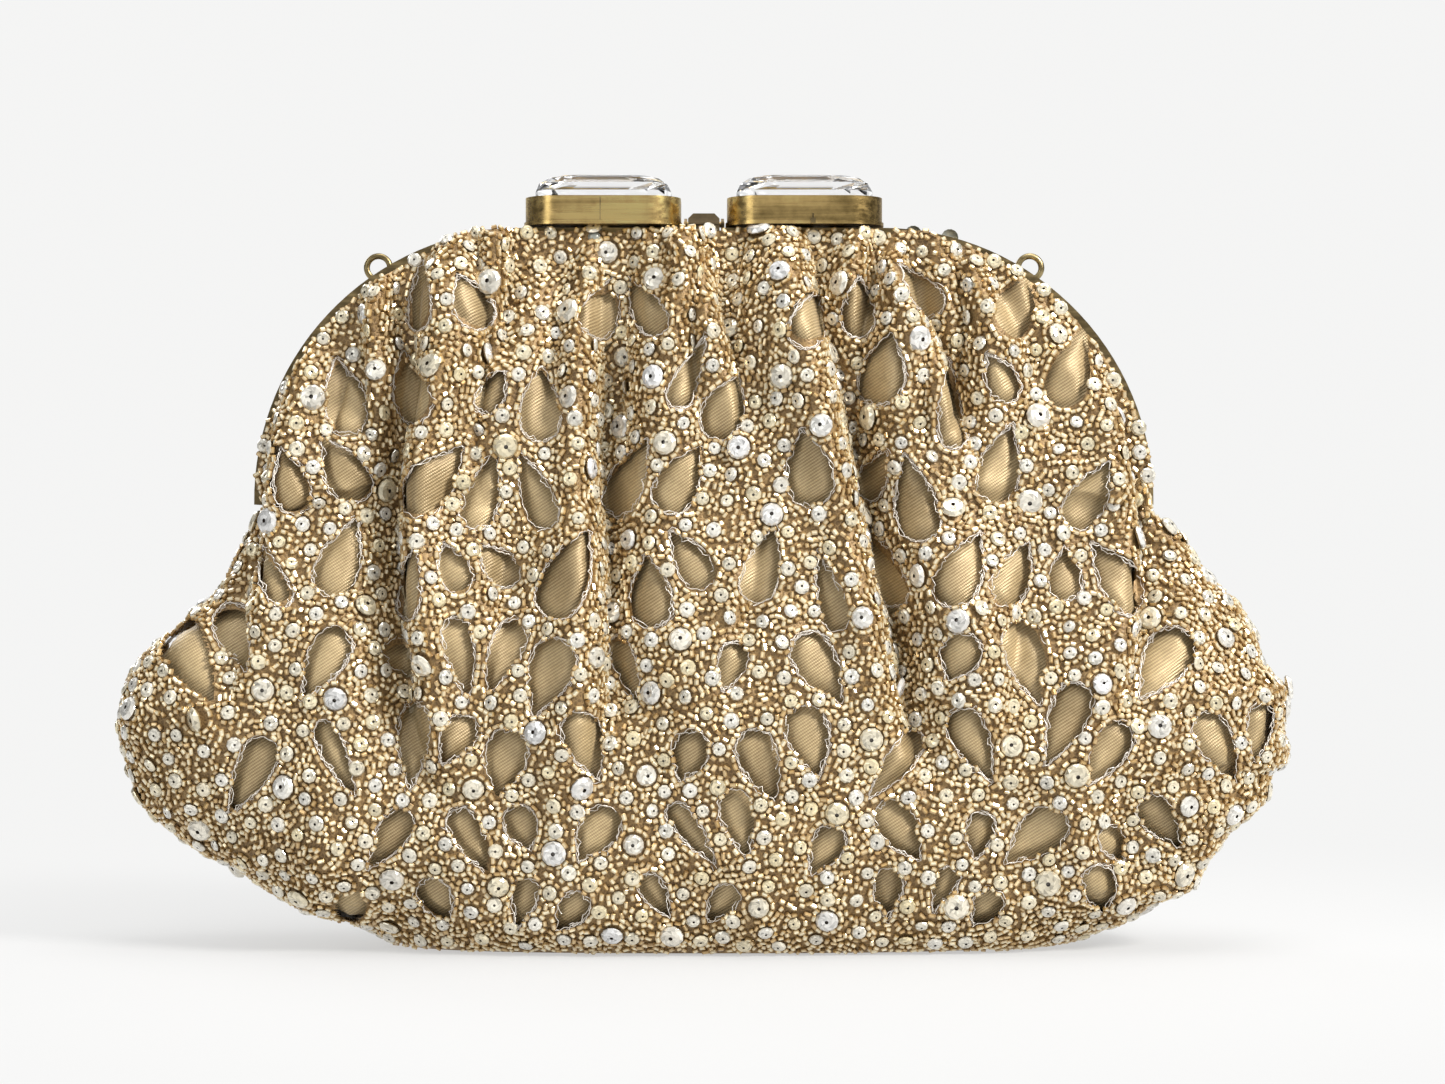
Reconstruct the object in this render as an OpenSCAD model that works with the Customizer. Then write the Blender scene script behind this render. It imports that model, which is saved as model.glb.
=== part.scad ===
// Framed evening bag: beaded cloth pouch on a hinged two-half metal frame,
// two crystal knobs, a small lift latch and two strap loops.
// Upright, +Z up, front towards -Y, origin at the centre of the base. Millimetres.

/* [Bag body] */
// half width of the pouch at its widest
pouch_half_width = 117.5; // [100:0.5:130]
// half depth of the pouch at its fullest
pouch_half_depth = 27; // [18:0.5:32]
// thickness of the quilted cloth, net and beads together
cloth = 2.5; // [1.5:0.1:4]
// thickness of the lining
lining = 0.6; // [0.3:0.1:1]
// height of the pouch's rim at the hinge line
rim_z = 85; // [80:0.5:86]
// drop of the rim per mm of depth
rim_slope = 0.62; // [0.58:0.01:0.8]

/* [Frame] */
// half length of the straight top
arch_flat = 35; // [25:1:45]
// outer radius of the shoulders
arch_r = 54; // [50:0.5:58]
// height of the shoulders' centre
arch_z = 88.8; // [86:0.1:92]
// thickness of the frame's metal
metal = 1.0; // [0.8:0.1:1.5]
// depth of the channel's flanges
flange = 7; // [5:0.5:9]
// front to back size of one half frame
half_y = 6.6; // [5:0.1:8]
// half of the gap between the two half frames
half_gap = 0.2; // [0.1:0.05:0.5]

/* [Hinge] */
// height of the hinge line
hinge_z = 88; // [86:0.5:90]
// radius of the rivet's shaft
rivet_r = 1.25; // [1:0.05:1.6]
// radial clearance of the ears on the rivet
rivet_clear = 0.05; // [0.02:0.01:0.1]
// radius of an ear
ear_r = 4; // [3:0.5:5]

/* [Knobs] */
// distance of each knob's middle from the bag's middle
knob_x = 20; // [18:0.5:26]
// bezel length
bezel_l = 30.8; // [28:0.1:34]
// bezel depth
bezel_d = 22.3; // [20:0.1:26]
// radius of a bezel's corners
bezel_corner = 7; // [5:0.5:9]
// bezel height
bezel_h = 5.6; // [5:0.1:8]
// stone length
stone_l = 27; // [24:0.5:30]
// stone depth
stone_d = 18.5; // [16:0.5:22]

/* [Latch] */
// half width of the latch lever
latch_w = 3.1; // [2.5:0.1:3.1]
// height of the latch's pivot
latch_z = 144.5; // [144.3:0.1:145]
// how far behind the middle the pivot is
latch_y = 4.5; // [4:0.1:5]

/* [Strap loops] */
// inner radius of a loop
loop_r = 1.75; // [1.5:0.05:2.2]
// wire radius of a loop
loop_wire = 0.65; // [0.5:0.05:0.8]
// angle of a loop round the shoulder
loop_angle = 57; // [45:1:70]

/* [Hidden] */
$fn = 64;
NT = 64;          // points round a pouch ring
NR = 14;          // rings up the pouch
PU = 36;          // panel columns
PV = 12;          // panel rows
knob_z = arch_z + arch_r + 0.4;   // underside of a bezel
top_z = arch_z + arch_r;
cord_r = 1.2;
cord_path = arch_r - 4.4;
hinge_ear_f = 85.4;
hinge_ear_r = 84.0;

// ---- shapes of the pouch -------------------------------------------------
// half width of the pouch at each height
HALF_W = [[0, 60], [4, 72], [9, 84], [13, 94], [18, 101], [24, 108], [30, 113],
          [36, 116], [44, 117.5], [51, 116.5], [57, 112.5], [63, 108], [68, 103],
          [75, 97], [80, 94], [85, 91.5], [90, 90]];
// half depth of the pouch at each height
HALF_D = [[0, 16], [4, 19.5], [10, 23], [20, 26], [40, 27], [60, 26.5], [75, 24], [85, 21.5], [90, 21]];
function pa(z) = lookup(z, HALF_W) * pouch_half_width / 117.5;
function pb(z) = lookup(z, HALF_D) * pouch_half_depth / 27;
function spow(v, p) = sign(v) * pow(abs(v), p);
function rise(i) = pow(i / NR, 1.25);
// one point of a pouch skin, inset by in, floor at z0, rim lowered by dip
function skin(i, j, in, z0, dip) =
    let (th = 360 * j / NT, t = rise(i), zz = z0 + (rim_z - z0) * t,
         x = (pa(zz) - in) * spow(cos(th), 0.78),
         y = (pb(zz) - in) * spow(sin(th), 0.78))
    [x, y, z0 + (rim_z - dip - rim_slope * abs(y) - z0) * t];

module bowl(in_o, z_o, in_i, z_i, dip) {
    n = (NR + 1) * NT;
    outer = [for (i = [0:NR]) for (j = [0:NT - 1]) skin(i, j, in_o, z_o, dip)];
    inner = [for (i = [0:NR]) for (j = [0:NT - 1]) skin(i, j, in_i, z_i, dip)];
    pts = concat(outer, inner, [[0, 0, z_o], [0, 0, z_i]]);
    faces = concat(
        [for (i = [0:NR - 1]) for (j = [0:NT - 1]) let (k = (j + 1) % NT)
            each [[i * NT + j, (i + 1) * NT + k, i * NT + k],
                  [i * NT + j, (i + 1) * NT + j, (i + 1) * NT + k]]],
        [for (i = [0:NR - 1]) for (j = [0:NT - 1]) let (k = (j + 1) % NT)
            each [[n + i * NT + j, n + i * NT + k, n + (i + 1) * NT + k],
                  [n + i * NT + j, n + (i + 1) * NT + k, n + (i + 1) * NT + j]]],
        [for (j = [0:NT - 1]) let (k = (j + 1) % NT, a = NR * NT)
            each [[a + j, n + a + j, n + a + k], [a + j, n + a + k, a + k]]],
        [for (j = [0:NT - 1]) let (k = (j + 1) % NT) [j, k, 2 * n]],
        [for (j = [0:NT - 1]) let (k = (j + 1) % NT) [n + j, 2 * n + 1, n + k]]);
    polyhedron(points = pts, faces = faces, convexity = 6);
}

// ---- shapes of the upper cloth, in front of the frame --------------------
function arch_half(z, r) = arch_flat + sqrt(max(0, r * r - pow(max(0, z - arch_z), 2)));
function bulge(u, v) = 14 * pow(max(0, 1 - pow(abs(u), 2.4)), 0.8) * pow(max(0, 1 - pow(v, 1.7)), 0.9);
// a grid slab in front of y = -back: outer face follows the bulge
module slab_panel(r, z0, z1, back, thick, gain) {
    m = (PU + 1) * (PV + 1);
    function row_z(i) = z0 + (z1 - z0) * i / PV;
    function px(i, j) = (2 * j / PU - 1) * (arch_half(row_z(i), r));
    function py(i, j) = back + gain * bulge(2 * j / PU - 1, i / PV);
    outer = [for (i = [0:PV]) for (j = [0:PU]) [px(i, j), -py(i, j) - thick, row_z(i)]];
    inner = [for (i = [0:PV]) for (j = [0:PU]) [px(i, j), -py(i, j), row_z(i)]];
    function o(i, j) = i * (PU + 1) + j;
    function q(i, j) = m + i * (PU + 1) + j;
    faces = concat(
        [for (i = [0:PV - 1]) for (j = [0:PU - 1])
            each [[o(i, j), o(i + 1, j + 1), o(i, j + 1)], [o(i, j), o(i + 1, j), o(i + 1, j + 1)]]],
        [for (i = [0:PV - 1]) for (j = [0:PU - 1])
            each [[q(i, j), q(i, j + 1), q(i + 1, j + 1)], [q(i, j), q(i + 1, j + 1), q(i + 1, j)]]],
        [for (j = [0:PU - 1]) each [[o(0, j), o(0, j + 1), q(0, j + 1)], [o(0, j), q(0, j + 1), q(0, j)]]],
        [for (j = [0:PU - 1]) each [[o(PV, j), q(PV, j + 1), o(PV, j + 1)], [o(PV, j), q(PV, j), q(PV, j + 1)]]],
        [for (i = [0:PV - 1]) each [[o(i, 0), q(i + 1, 0), o(i + 1, 0)], [o(i, 0), q(i, 0), q(i + 1, 0)]]],
        [for (i = [0:PV - 1]) each [[o(i, PU), o(i + 1, PU), q(i + 1, PU)], [o(i, PU), q(i + 1, PU), q(i, PU)]]]);
    polyhedron(points = concat(outer, inner), faces = faces, convexity = 6);
}

// the cloth between the pouch's rim and the upper cloth, front side
module fold_strip() {
    N = 36;
    function fx(j) = 80 * (2 * j / N - 1);
    function rim_y(x) = pb(rim_z) * pow(max(0, 1 - pow(abs(x) / pa(rim_z), 1 / 0.39)), 0.39);
    function top_y(x) = 7.4 + bulge(x / arch_half(hinge_z + 0.6, arch_r - 1.4), 0);
    pts = [for (j = [0:N]) let (x = fx(j), r = rim_y(x), t = top_y(x))
           each [[x, -r, rim_z + 0.7 - rim_slope * r], [x, -t - cloth + 0.5, hinge_z + 0.2],
                 [x, -t - 0.3, hinge_z + 0.2], [x, -r + 1.8, rim_z + 0.7 - rim_slope * (r - 1.8)]]];
    faces = concat([[0, 3, 2], [0, 2, 1]],
        [for (j = [0:N - 1]) for (k = [0:3]) let (a = 4 * j + k, b = 4 * j + (k + 1) % 4)
            each [[a, b, b + 4], [a, b + 4, a + 4]]],
        [[4 * N, 4 * N + 1, 4 * N + 2], [4 * N, 4 * N + 2, 4 * N + 3]]);
    polyhedron(points = pts, faces = faces, convexity = 4);
}

module pouch_lower() { color("#a8905f") bowl(0, 0, cloth, cloth, 0); }
module pouch_lining() { color("#c9b48a") bowl(cloth + 1.0, cloth + 1.9, cloth + 1.0 + lining, cloth + 1.9 + lining, 0.8); }
module front_fold() { color("#a8905f") fold_strip(); }
module rear_fold() { color("#a8905f") mirror([0, 1, 0]) fold_strip(); }
module base_board() {
    color("#8d7a5c") difference() {
        translate([-50, -12, cloth + 0.2]) cube([100, 24, 1.3]);
        for (sx = [-1, 1], sy = [-1, 1]) translate([sx * 50, sy * 12, cloth]) difference() {
            translate([-4, -4, 0]) cube([8, 8, 3]);
            translate([-sx * 4, -sy * 4, -1]) cylinder(r = 4, h = 5);
        }
    }
}

module front_panel() { color("#a8905f") slab_panel(arch_r - 1.4, hinge_z + 0.6, top_z - 1.6, 7.0, cloth - 0.9, 1); }
module rear_panel() { color("#a8905f") mirror([0, 1, 0]) slab_panel(arch_r - 1.4, hinge_z + 0.6, top_z - 1.6, 7.0, cloth - 0.9, 1); }
module window_lining() { slab_panel(arch_r - flange - 0.6, hinge_z + 1.4, top_z - flange - 0.8, 5.2, lining, 0.86); }
module front_lining() { color("#c9b48a") window_lining(); }
module rear_lining() { color("#c9b48a") mirror([0, 1, 0]) window_lining(); }

// ---- frame ---------------------------------------------------------------
module slab(y0, y1) { translate([0, y1, 0]) rotate([90, 0, 0]) linear_extrude(height = y1 - y0) children(); }
module arch2d(r, z0) {
    intersection() {
        union() {
            translate([-arch_flat, z0]) square([2 * arch_flat, arch_z - z0 + r]);
            for (s = [-1, 1]) translate([s * arch_flat, arch_z]) circle(r = r, $fn = 160);
        }
        translate([-150, z0]) square([300, 100]);
    }
}
module arch_ring(ro, ri, z0) { difference() { arch2d(ro, z0); arch2d(ri, z0 - 1); } }
module xcyl(x0, x1, r, y, z) { translate([x0, y, z]) rotate([0, 90, 0]) cylinder(r = r, h = x1 - x0); }

// front version of a half frame, with its ears' inner faces at ex
module half_frame(ex) {
    f = -half_gap - half_y;
    slab(f, -half_gap) arch_ring(arch_r, arch_r - metal, hinge_z);
    slab(f, f + metal - 0.1) arch_ring(arch_r - metal / 2, arch_r - flange, hinge_z);
    slab(-half_gap - metal + 0.1, -half_gap) arch_ring(arch_r - metal / 2, arch_r - flange, hinge_z + 6);
    for (s = [-1, 1]) {
        // ear, its neck and the step out to the band
        xcyl(s > 0 ? ex : -ex - 1, s > 0 ? ex + 1 : -ex, ear_r, 0, hinge_z);
        translate([s > 0 ? ex : -ex - 1, f, hinge_z]) cube([1, -f, ear_r]);
        translate([s > 0 ? ex : -88.3, f, hinge_z]) cube([88.3 - ex, 2.2, ear_r]);
    }
}
module ear_bores(ex) {
    xcyl(ex - 0.5, ex + 1.5, rivet_r + rivet_clear, 0, hinge_z);
    xcyl(-ex - 1.5, -ex + 0.5, rivet_r + rivet_clear, 0, hinge_z);
}
module front_frame() {
    color("#7d6a45") difference() {
        half_frame(hinge_ear_f);
        ear_bores(hinge_ear_f);
        translate([-3.5, -10, top_z - 3]) cube([7, 9.9, 5]);
        translate([-knob_x, -3.5, top_z - 3]) cylinder(r = 1.1, h = 6);
    }
}
module rear_frame() {
    color("#7d6a45") difference() {
        mirror([0, 1, 0]) half_frame(hinge_ear_r);
        ear_bores(hinge_ear_r);
        translate([knob_x, 3.5, top_z - 3]) cylinder(r = 1.1, h = 6);
    }
}
module grip_cord(y) {
    for (s = [-1, 1]) translate([s * arch_flat, y, arch_z]) rotate([90, 0, 0])
        rotate([0, 0, s > 0 ? 7 : 90]) rotate_extrude(angle = 83, $fn = 160) translate([cord_path, 0]) circle(r = cord_r, $fn = 24);
    xcyl(-arch_flat - 0.3, arch_flat + 0.3, cord_r - 0.02, y, arch_z + cord_path, $fn = 24);
}
module front_grip_cord() { color("#d8cdb0") grip_cord(-3.5); }
module rear_grip_cord() { color("#d8cdb0") grip_cord(3.5); }

module rivet() {
    xcyl(82.0, 86.9, rivet_r, 0, hinge_z);
    xcyl(86.8, 87.6, 2.4, 0, hinge_z);
    xcyl(81.4, 82.1, 2.4, 0, hinge_z);
}
module hinge_rivet_right() { color("#9a8355") rivet(); }
module hinge_rivet_left() { color("#9a8355") mirror([1, 0, 0]) rivet(); }
// strip of metal that ties the rivet to the pouch's side seam
module side_tab() {
    difference() {
        union() {
            translate([82.3, -3, 80]) cube([0.9, 6, 8]);
            xcyl(82.3, 83.2, 3, 0, hinge_z);
            translate([82.3, -3, 80]) cube([5.6, 6, 0.9]);
            translate([87.0, -3, 72]) cube([0.9, 6, 8.9]);
        }
        xcyl(82, 84, rivet_r + 0.02, 0, hinge_z);
    }
}
module side_tab_right() { color("#9a8355") side_tab(); }
module side_tab_left() { color("#9a8355") mirror([1, 0, 0]) side_tab(); }

// ---- knobs ---------------------------------------------------------------
function oct(l, d, c) = [[l / 2 - c, -d / 2], [l / 2, -d / 2 + c], [l / 2, d / 2 - c], [l / 2 - c, d / 2],
                         [-l / 2 + c, d / 2], [-l / 2, d / 2 - c], [-l / 2, -d / 2 + c], [-l / 2 + c, -d / 2]];
module rrect(l, d, r) {
    square([l - 2 * r, d], center = true);
    square([l, d - 2 * r], center = true);
    for (sx = [-1, 1], sy = [-1, 1]) translate([sx * (l / 2 - r), sy * (d / 2 - r)]) circle(r = r);
}
module bezel() {
    difference() {
        union() {
            linear_extrude(height = bezel_h) rrect(bezel_l, bezel_d, bezel_corner);
            linear_extrude(height = 0.7) rrect(bezel_l + 0.6, bezel_d + 0.6, bezel_corner + 0.3);
        }
        translate([0, 0, 1]) linear_extrude(height = bezel_h - 1.8) rrect(bezel_l - 1.8, bezel_d - 1.8, bezel_corner - 0.9);
        translate([0, 0, 2]) linear_extrude(height = bezel_h) rrect(stone_l + 0.3, stone_d + 0.3, 4.5);
        translate([0, 0, -1]) children();
    }
}
module stone() {
    // [height, length, depth, corner] of each ring, from the culet end up
    R = [[-4.0, stone_l - 8, stone_d - 8, 2.6], [-2.0, stone_l - 2.6, stone_d - 2.6, 3.6], [-0.6, stone_l, stone_d, 4],
         [2.2, stone_l, stone_d, 4], [3.4, stone_l - 2.6, stone_d - 2.6, 3.8],
         [4.3, stone_l - 6.0, stone_d - 6.0, 3.3], [4.7, stone_l - 9.6, stone_d - 9.6, 2.6]];
    K = len(R);
    pts = [for (r = R) for (p = oct(r[1], r[2], r[3])) [p[0], p[1], r[0]]];
    faces = concat([[for (j = [0:7]) j]],
        [for (i = [0:K - 2]) for (j = [0:7]) let (k = (j + 1) % 8)
            each [[i * 8 + j, (i + 1) * 8 + k, i * 8 + k], [i * 8 + j, (i + 1) * 8 + j, (i + 1) * 8 + k]]],
        [[for (j = [7:-1:0]) (K - 1) * 8 + j]]);
    polyhedron(points = pts, faces = faces, convexity = 2);
}
module stud() {
    translate([0, 0, -1.6]) cylinder(r = 1.0, h = 2.7);
    translate([0, 0, -0.38]) cylinder(r = 2.0, h = 0.36);
    translate([0, 0, -2.1]) cylinder(r = 1.8, h = 0.65);
}
module left_bezel() { color("#8f7a4e") translate([-knob_x, 0, knob_z]) bezel() translate([0, -3.5, 0]) cylinder(r = 1.02, h = 4); }
module right_bezel() { color("#8f7a4e") translate([knob_x, 0, knob_z]) bezel() translate([0, 3.5, 0]) cylinder(r = 1.02, h = 4); }
module left_crystal() { color("#f4f2ee") translate([-knob_x, 0, knob_z + bezel_h]) stone(); }
module right_crystal() { color("#f4f2ee") translate([knob_x, 0, knob_z + bezel_h]) stone(); }
module foil() { translate([0, 0, 1.15]) linear_extrude(height = 0.25) polygon(oct(bezel_l - 4.4, bezel_d - 4.4, 4)); }
module left_foil() { color("#c9c4b8") translate([-knob_x, 0, knob_z]) foil(); }
module right_foil() { color("#c9c4b8") translate([knob_x, 0, knob_z]) foil(); }
module left_stud() { color("#9a8355") translate([-knob_x, -3.5, knob_z]) stud(); }
module right_stud() { color("#9a8355") translate([knob_x, 3.5, knob_z]) stud(); }

// ---- latch ---------------------------------------------------------------
module catch_plate() { color("#5c4d33") translate([-3.4, -half_gap - half_y, top_z - 2.98]) cube([6.8, half_y, 0.4]); }
module latch_bracket() {
    color("#6b5a3a") difference() {
        union() {
            translate([-4, latch_y - 1.6, top_z + 0.03]) cube([8, 3.2, 0.25]);
            for (s = [-1, 1]) {
                translate([s > 0 ? 3.4 : -4, latch_y - 1.2, top_z + 0.03]) cube([0.6, 2.4, latch_z - top_z - 0.03]);
                xcyl(s > 0 ? 3.4 : -4, s > 0 ? 4 : -3.4, 1.2, latch_y, latch_z);
            }
        }
        xcyl(-5, 5, 0.62, latch_y, latch_z);
    }
}
module latch_pin() { color("#9a8355") xcyl(-4.1, 4.1, 0.6, latch_y, latch_z); }
module latch_lever() {
    color("#8a7347") difference() {
        union() {
            xcyl(-latch_w, latch_w, 1.2, latch_y, latch_z);
            slab(-7.2, latch_y) polygon([[-latch_w, latch_z - 1], [latch_w, latch_z - 1], [latch_w, latch_z + 0.1],
                                        [latch_w - 1, latch_z + 1.1], [-latch_w + 1, latch_z + 1.1], [-latch_w, latch_z + 0.1]]);
            translate([-latch_w, -6.4, top_z - 2.2]) cube([2 * latch_w, 5.6, latch_z - top_z + 1.5]);
        }
        xcyl(-latch_w - 1, latch_w + 1, 0.65, latch_y, latch_z);
    }
}

// ---- strap loops ---------------------------------------------------------
module strap_loop() {
    difference() {
        translate([arch_flat + (arch_r + 1.95) * cos(loop_angle), half_gap + half_y / 2, arch_z + (arch_r + 1.95) * sin(loop_angle)])
            rotate([90, 0, 0]) rotate_extrude($fn = 64) intersection() {
                translate([loop_r - 0.1 + loop_wire, 0]) circle(r = loop_wire, $fn = 24);
                translate([loop_r, -2]) square([5, 4]);
            }
        translate([arch_flat, 10, arch_z]) rotate([90, 0, 0]) cylinder(r = arch_r + 0.01, h = 20, $fn = 160);
    }
}
module strap_loop_right() { color("#8a7347") strap_loop(); }
module strap_loop_left() { color("#8a7347") mirror([1, 0, 0]) strap_loop(); }

pouch_lower();
pouch_lining();
base_board();
hinge_rivet_left();
hinge_rivet_right();
side_tab_left();
side_tab_right();
front_fold();
rear_fold();
front_frame();
front_panel();
front_lining();
front_grip_cord();
left_bezel();
left_crystal();
left_foil();
left_stud();
catch_plate();
rear_frame();
rear_panel();
rear_lining();
rear_grip_cord();
right_bezel();
right_crystal();
right_foil();
right_stud();
strap_loop_left();
strap_loop_right();
latch_bracket();
latch_pin();
latch_lever();
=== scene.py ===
import bpy, math
import numpy as np
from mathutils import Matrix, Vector
from mathutils.bvhtree import BVHTree


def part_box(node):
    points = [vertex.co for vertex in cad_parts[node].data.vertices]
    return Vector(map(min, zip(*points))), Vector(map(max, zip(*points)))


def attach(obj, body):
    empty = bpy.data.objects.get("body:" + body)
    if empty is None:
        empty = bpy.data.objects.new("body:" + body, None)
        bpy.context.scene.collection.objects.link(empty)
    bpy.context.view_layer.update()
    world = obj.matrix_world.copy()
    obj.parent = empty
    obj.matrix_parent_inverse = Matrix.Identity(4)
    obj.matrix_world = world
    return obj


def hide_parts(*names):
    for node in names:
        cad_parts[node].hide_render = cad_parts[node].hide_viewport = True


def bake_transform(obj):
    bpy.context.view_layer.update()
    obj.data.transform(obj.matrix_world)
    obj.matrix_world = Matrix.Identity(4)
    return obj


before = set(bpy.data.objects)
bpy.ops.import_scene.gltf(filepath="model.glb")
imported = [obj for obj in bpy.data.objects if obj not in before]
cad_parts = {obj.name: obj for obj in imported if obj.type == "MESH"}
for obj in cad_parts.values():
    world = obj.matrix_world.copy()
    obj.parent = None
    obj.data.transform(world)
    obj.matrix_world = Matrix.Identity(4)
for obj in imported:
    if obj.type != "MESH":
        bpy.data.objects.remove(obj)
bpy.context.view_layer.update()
MM = 0.001

# ------------------------------------------------------------------ helpers
def lut(t, table):
    t = np.asarray(t, float)
    return np.interp(t, [p[0] for p in table], [p[1] for p in table])

def smooth(t, a, b):
    t = np.clip((np.asarray(t, float) - a) / (b - a), 0, 1)
    return t * t * (3 - 2 * t)

class Noise:
    def __init__(self, seed):
        self.t = np.random.default_rng(seed).random((64, 64)) * 2 - 1
    def __call__(self, x, y):
        x = np.asarray(x, float); y = np.asarray(y, float)
        xi = np.floor(x).astype(int); yi = np.floor(y).astype(int)
        fx = x - xi; fy = y - yi
        fx = fx * fx * (3 - 2 * fx); fy = fy * fy * (3 - 2 * fy)
        g = lambda a, b: self.t[a % 64, b % 64]
        return ((g(xi, yi) * (1 - fx) + g(xi + 1, yi) * fx) * (1 - fy)
                + (g(xi, yi + 1) * (1 - fx) + g(xi + 1, yi + 1) * fx) * fy)

def make_mesh(name, verts, loops, sizes, mats=(), face_mat=None, smooth_shade=False, point_col=None, face_col=None):
    """verts in mm, loops = flat vertex indices, sizes = corners of each face."""
    me = bpy.data.meshes.new(name)
    verts = np.asarray(verts, np.float32) * np.float32(MM)
    loops = np.asarray(loops, np.int32); sizes = np.asarray(sizes, np.int32)
    me.vertices.add(len(verts)); me.vertices.foreach_set("co", verts.ravel())
    me.loops.add(len(loops)); me.loops.foreach_set("vertex_index", loops)
    me.polygons.add(len(sizes))
    start = np.concatenate([[0], np.cumsum(sizes)[:-1]]).astype(np.int32)
    me.polygons.foreach_set("loop_start", start)
    me.polygons.foreach_set("loop_total", sizes)
    me.polygons.foreach_set("use_smooth", np.full(len(sizes), smooth_shade))
    for m in mats:
        me.materials.append(m)
    if face_mat is not None:
        me.polygons.foreach_set("material_index", np.asarray(face_mat, np.int32))
    me.update(calc_edges=True)
    if point_col is not None:
        a = me.attributes.new("tint", "FLOAT_COLOR", "POINT")
        c = np.ones((len(verts), 4), np.float32); c[:, :3] = point_col
        a.data.foreach_set("color", c.ravel())
    if face_col is not None:
        a = me.attributes.new("tint", "FLOAT_COLOR", "FACE")
        c = np.ones((len(sizes), 4), np.float32); c[:, :3] = face_col
        a.data.foreach_set("color", c.ravel())
    me.validate()
    ob = bpy.data.objects.new(name, me)
    bpy.context.scene.collection.objects.link(ob)
    return ob

def grid_faces(nr, nc, keep=None):
    i, j = np.meshgrid(np.arange(nr - 1), np.arange(nc - 1), indexing="ij")
    a = (i * nc + j).ravel()
    q = np.stack([a, a + 1, a + nc + 1, a + nc], 1)
    if keep is not None:
        q = q[keep.ravel()]
    return q

def compact(verts, quads, *extra):
    used = np.unique(quads)
    remap = -np.ones(len(verts), int); remap[used] = np.arange(len(used))
    return (verts[used], remap[quads]) + tuple(e[used] for e in extra)

# --------------------------------------------------------------- materials
def new_mat(name):
    m = bpy.data.materials.new(name); m.use_nodes = True
    nt = m.node_tree; nt.nodes.clear()
    out = nt.nodes.new("ShaderNodeOutputMaterial")
    p = nt.nodes.new("ShaderNodeBsdfPrincipled")
    nt.links.new(p.outputs[0], out.inputs[0])
    return m, nt, p

def N(nt, kind, **kw):
    n = nt.nodes.new(kind)
    for k, v in kw.items():
        if k in n.inputs.keys() if hasattr(n.inputs, "keys") else False:
            n.inputs[k].default_value = v
        else:
            setattr(n, k, v)
    return n

def ramp(nt, fac, stops):
    r = nt.nodes.new("ShaderNodeValToRGB")
    e = r.color_ramp.elements
    while len(e) < len(stops):
        e.new(0.5)
    for k, (pos, col) in zip(e, stops):
        k.position = pos; k.color = (*col, 1)
    nt.links.new(fac, r.inputs[0])
    return r.outputs[0]

def coords(nt, scale=(1, 1, 1), rot=(0, 0, 0)):
    tc = nt.nodes.new("ShaderNodeTexCoord"); mp = nt.nodes.new("ShaderNodeMapping")
    mp.inputs["Scale"].default_value = scale; mp.inputs["Rotation"].default_value = rot
    nt.links.new(tc.outputs["Object"], mp.inputs[0])
    return mp.outputs[0]

def noise(nt, vec, scale, detail=3, rough=0.5):
    n = nt.nodes.new("ShaderNodeTexNoise")
    n.inputs["Scale"].default_value = scale; n.inputs["Detail"].default_value = detail
    n.inputs["Roughness"].default_value = rough
    nt.links.new(vec, n.inputs["Vector"])
    return n.outputs["Fac"]

def bump(nt, p, height, strength, dist):
    b = nt.nodes.new("ShaderNodeBump")
    b.inputs["Strength"].default_value = strength; b.inputs["Distance"].default_value = dist
    nt.links.new(height, b.inputs["Height"]); nt.links.new(b.outputs[0], p.inputs["Normal"])
    return b

def mixc(nt, fac, a, b, mode="MIX"):
    m = nt.nodes.new("ShaderNodeMix"); m.data_type = "RGBA"; m.blend_type = mode
    for sock, v in ((m.inputs[0], fac), (m.inputs[6], a), (m.inputs[7], b)):
        if isinstance(v, (int, float)):
            sock.default_value = v
        elif isinstance(v, tuple):
            sock.default_value = (*v, 1)
        else:
            nt.links.new(v, sock)
    return m.outputs[2]

def math_node(nt, op, a, b=None):
    m = nt.nodes.new("ShaderNodeMath"); m.operation = op
    for s, v in ((m.inputs[0], a), (m.inputs[1], b)):
        if v is None:
            continue
        if isinstance(v, (int, float)):
            s.default_value = v
        else:
            nt.links.new(v, s)
    return m.outputs[0]

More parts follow.
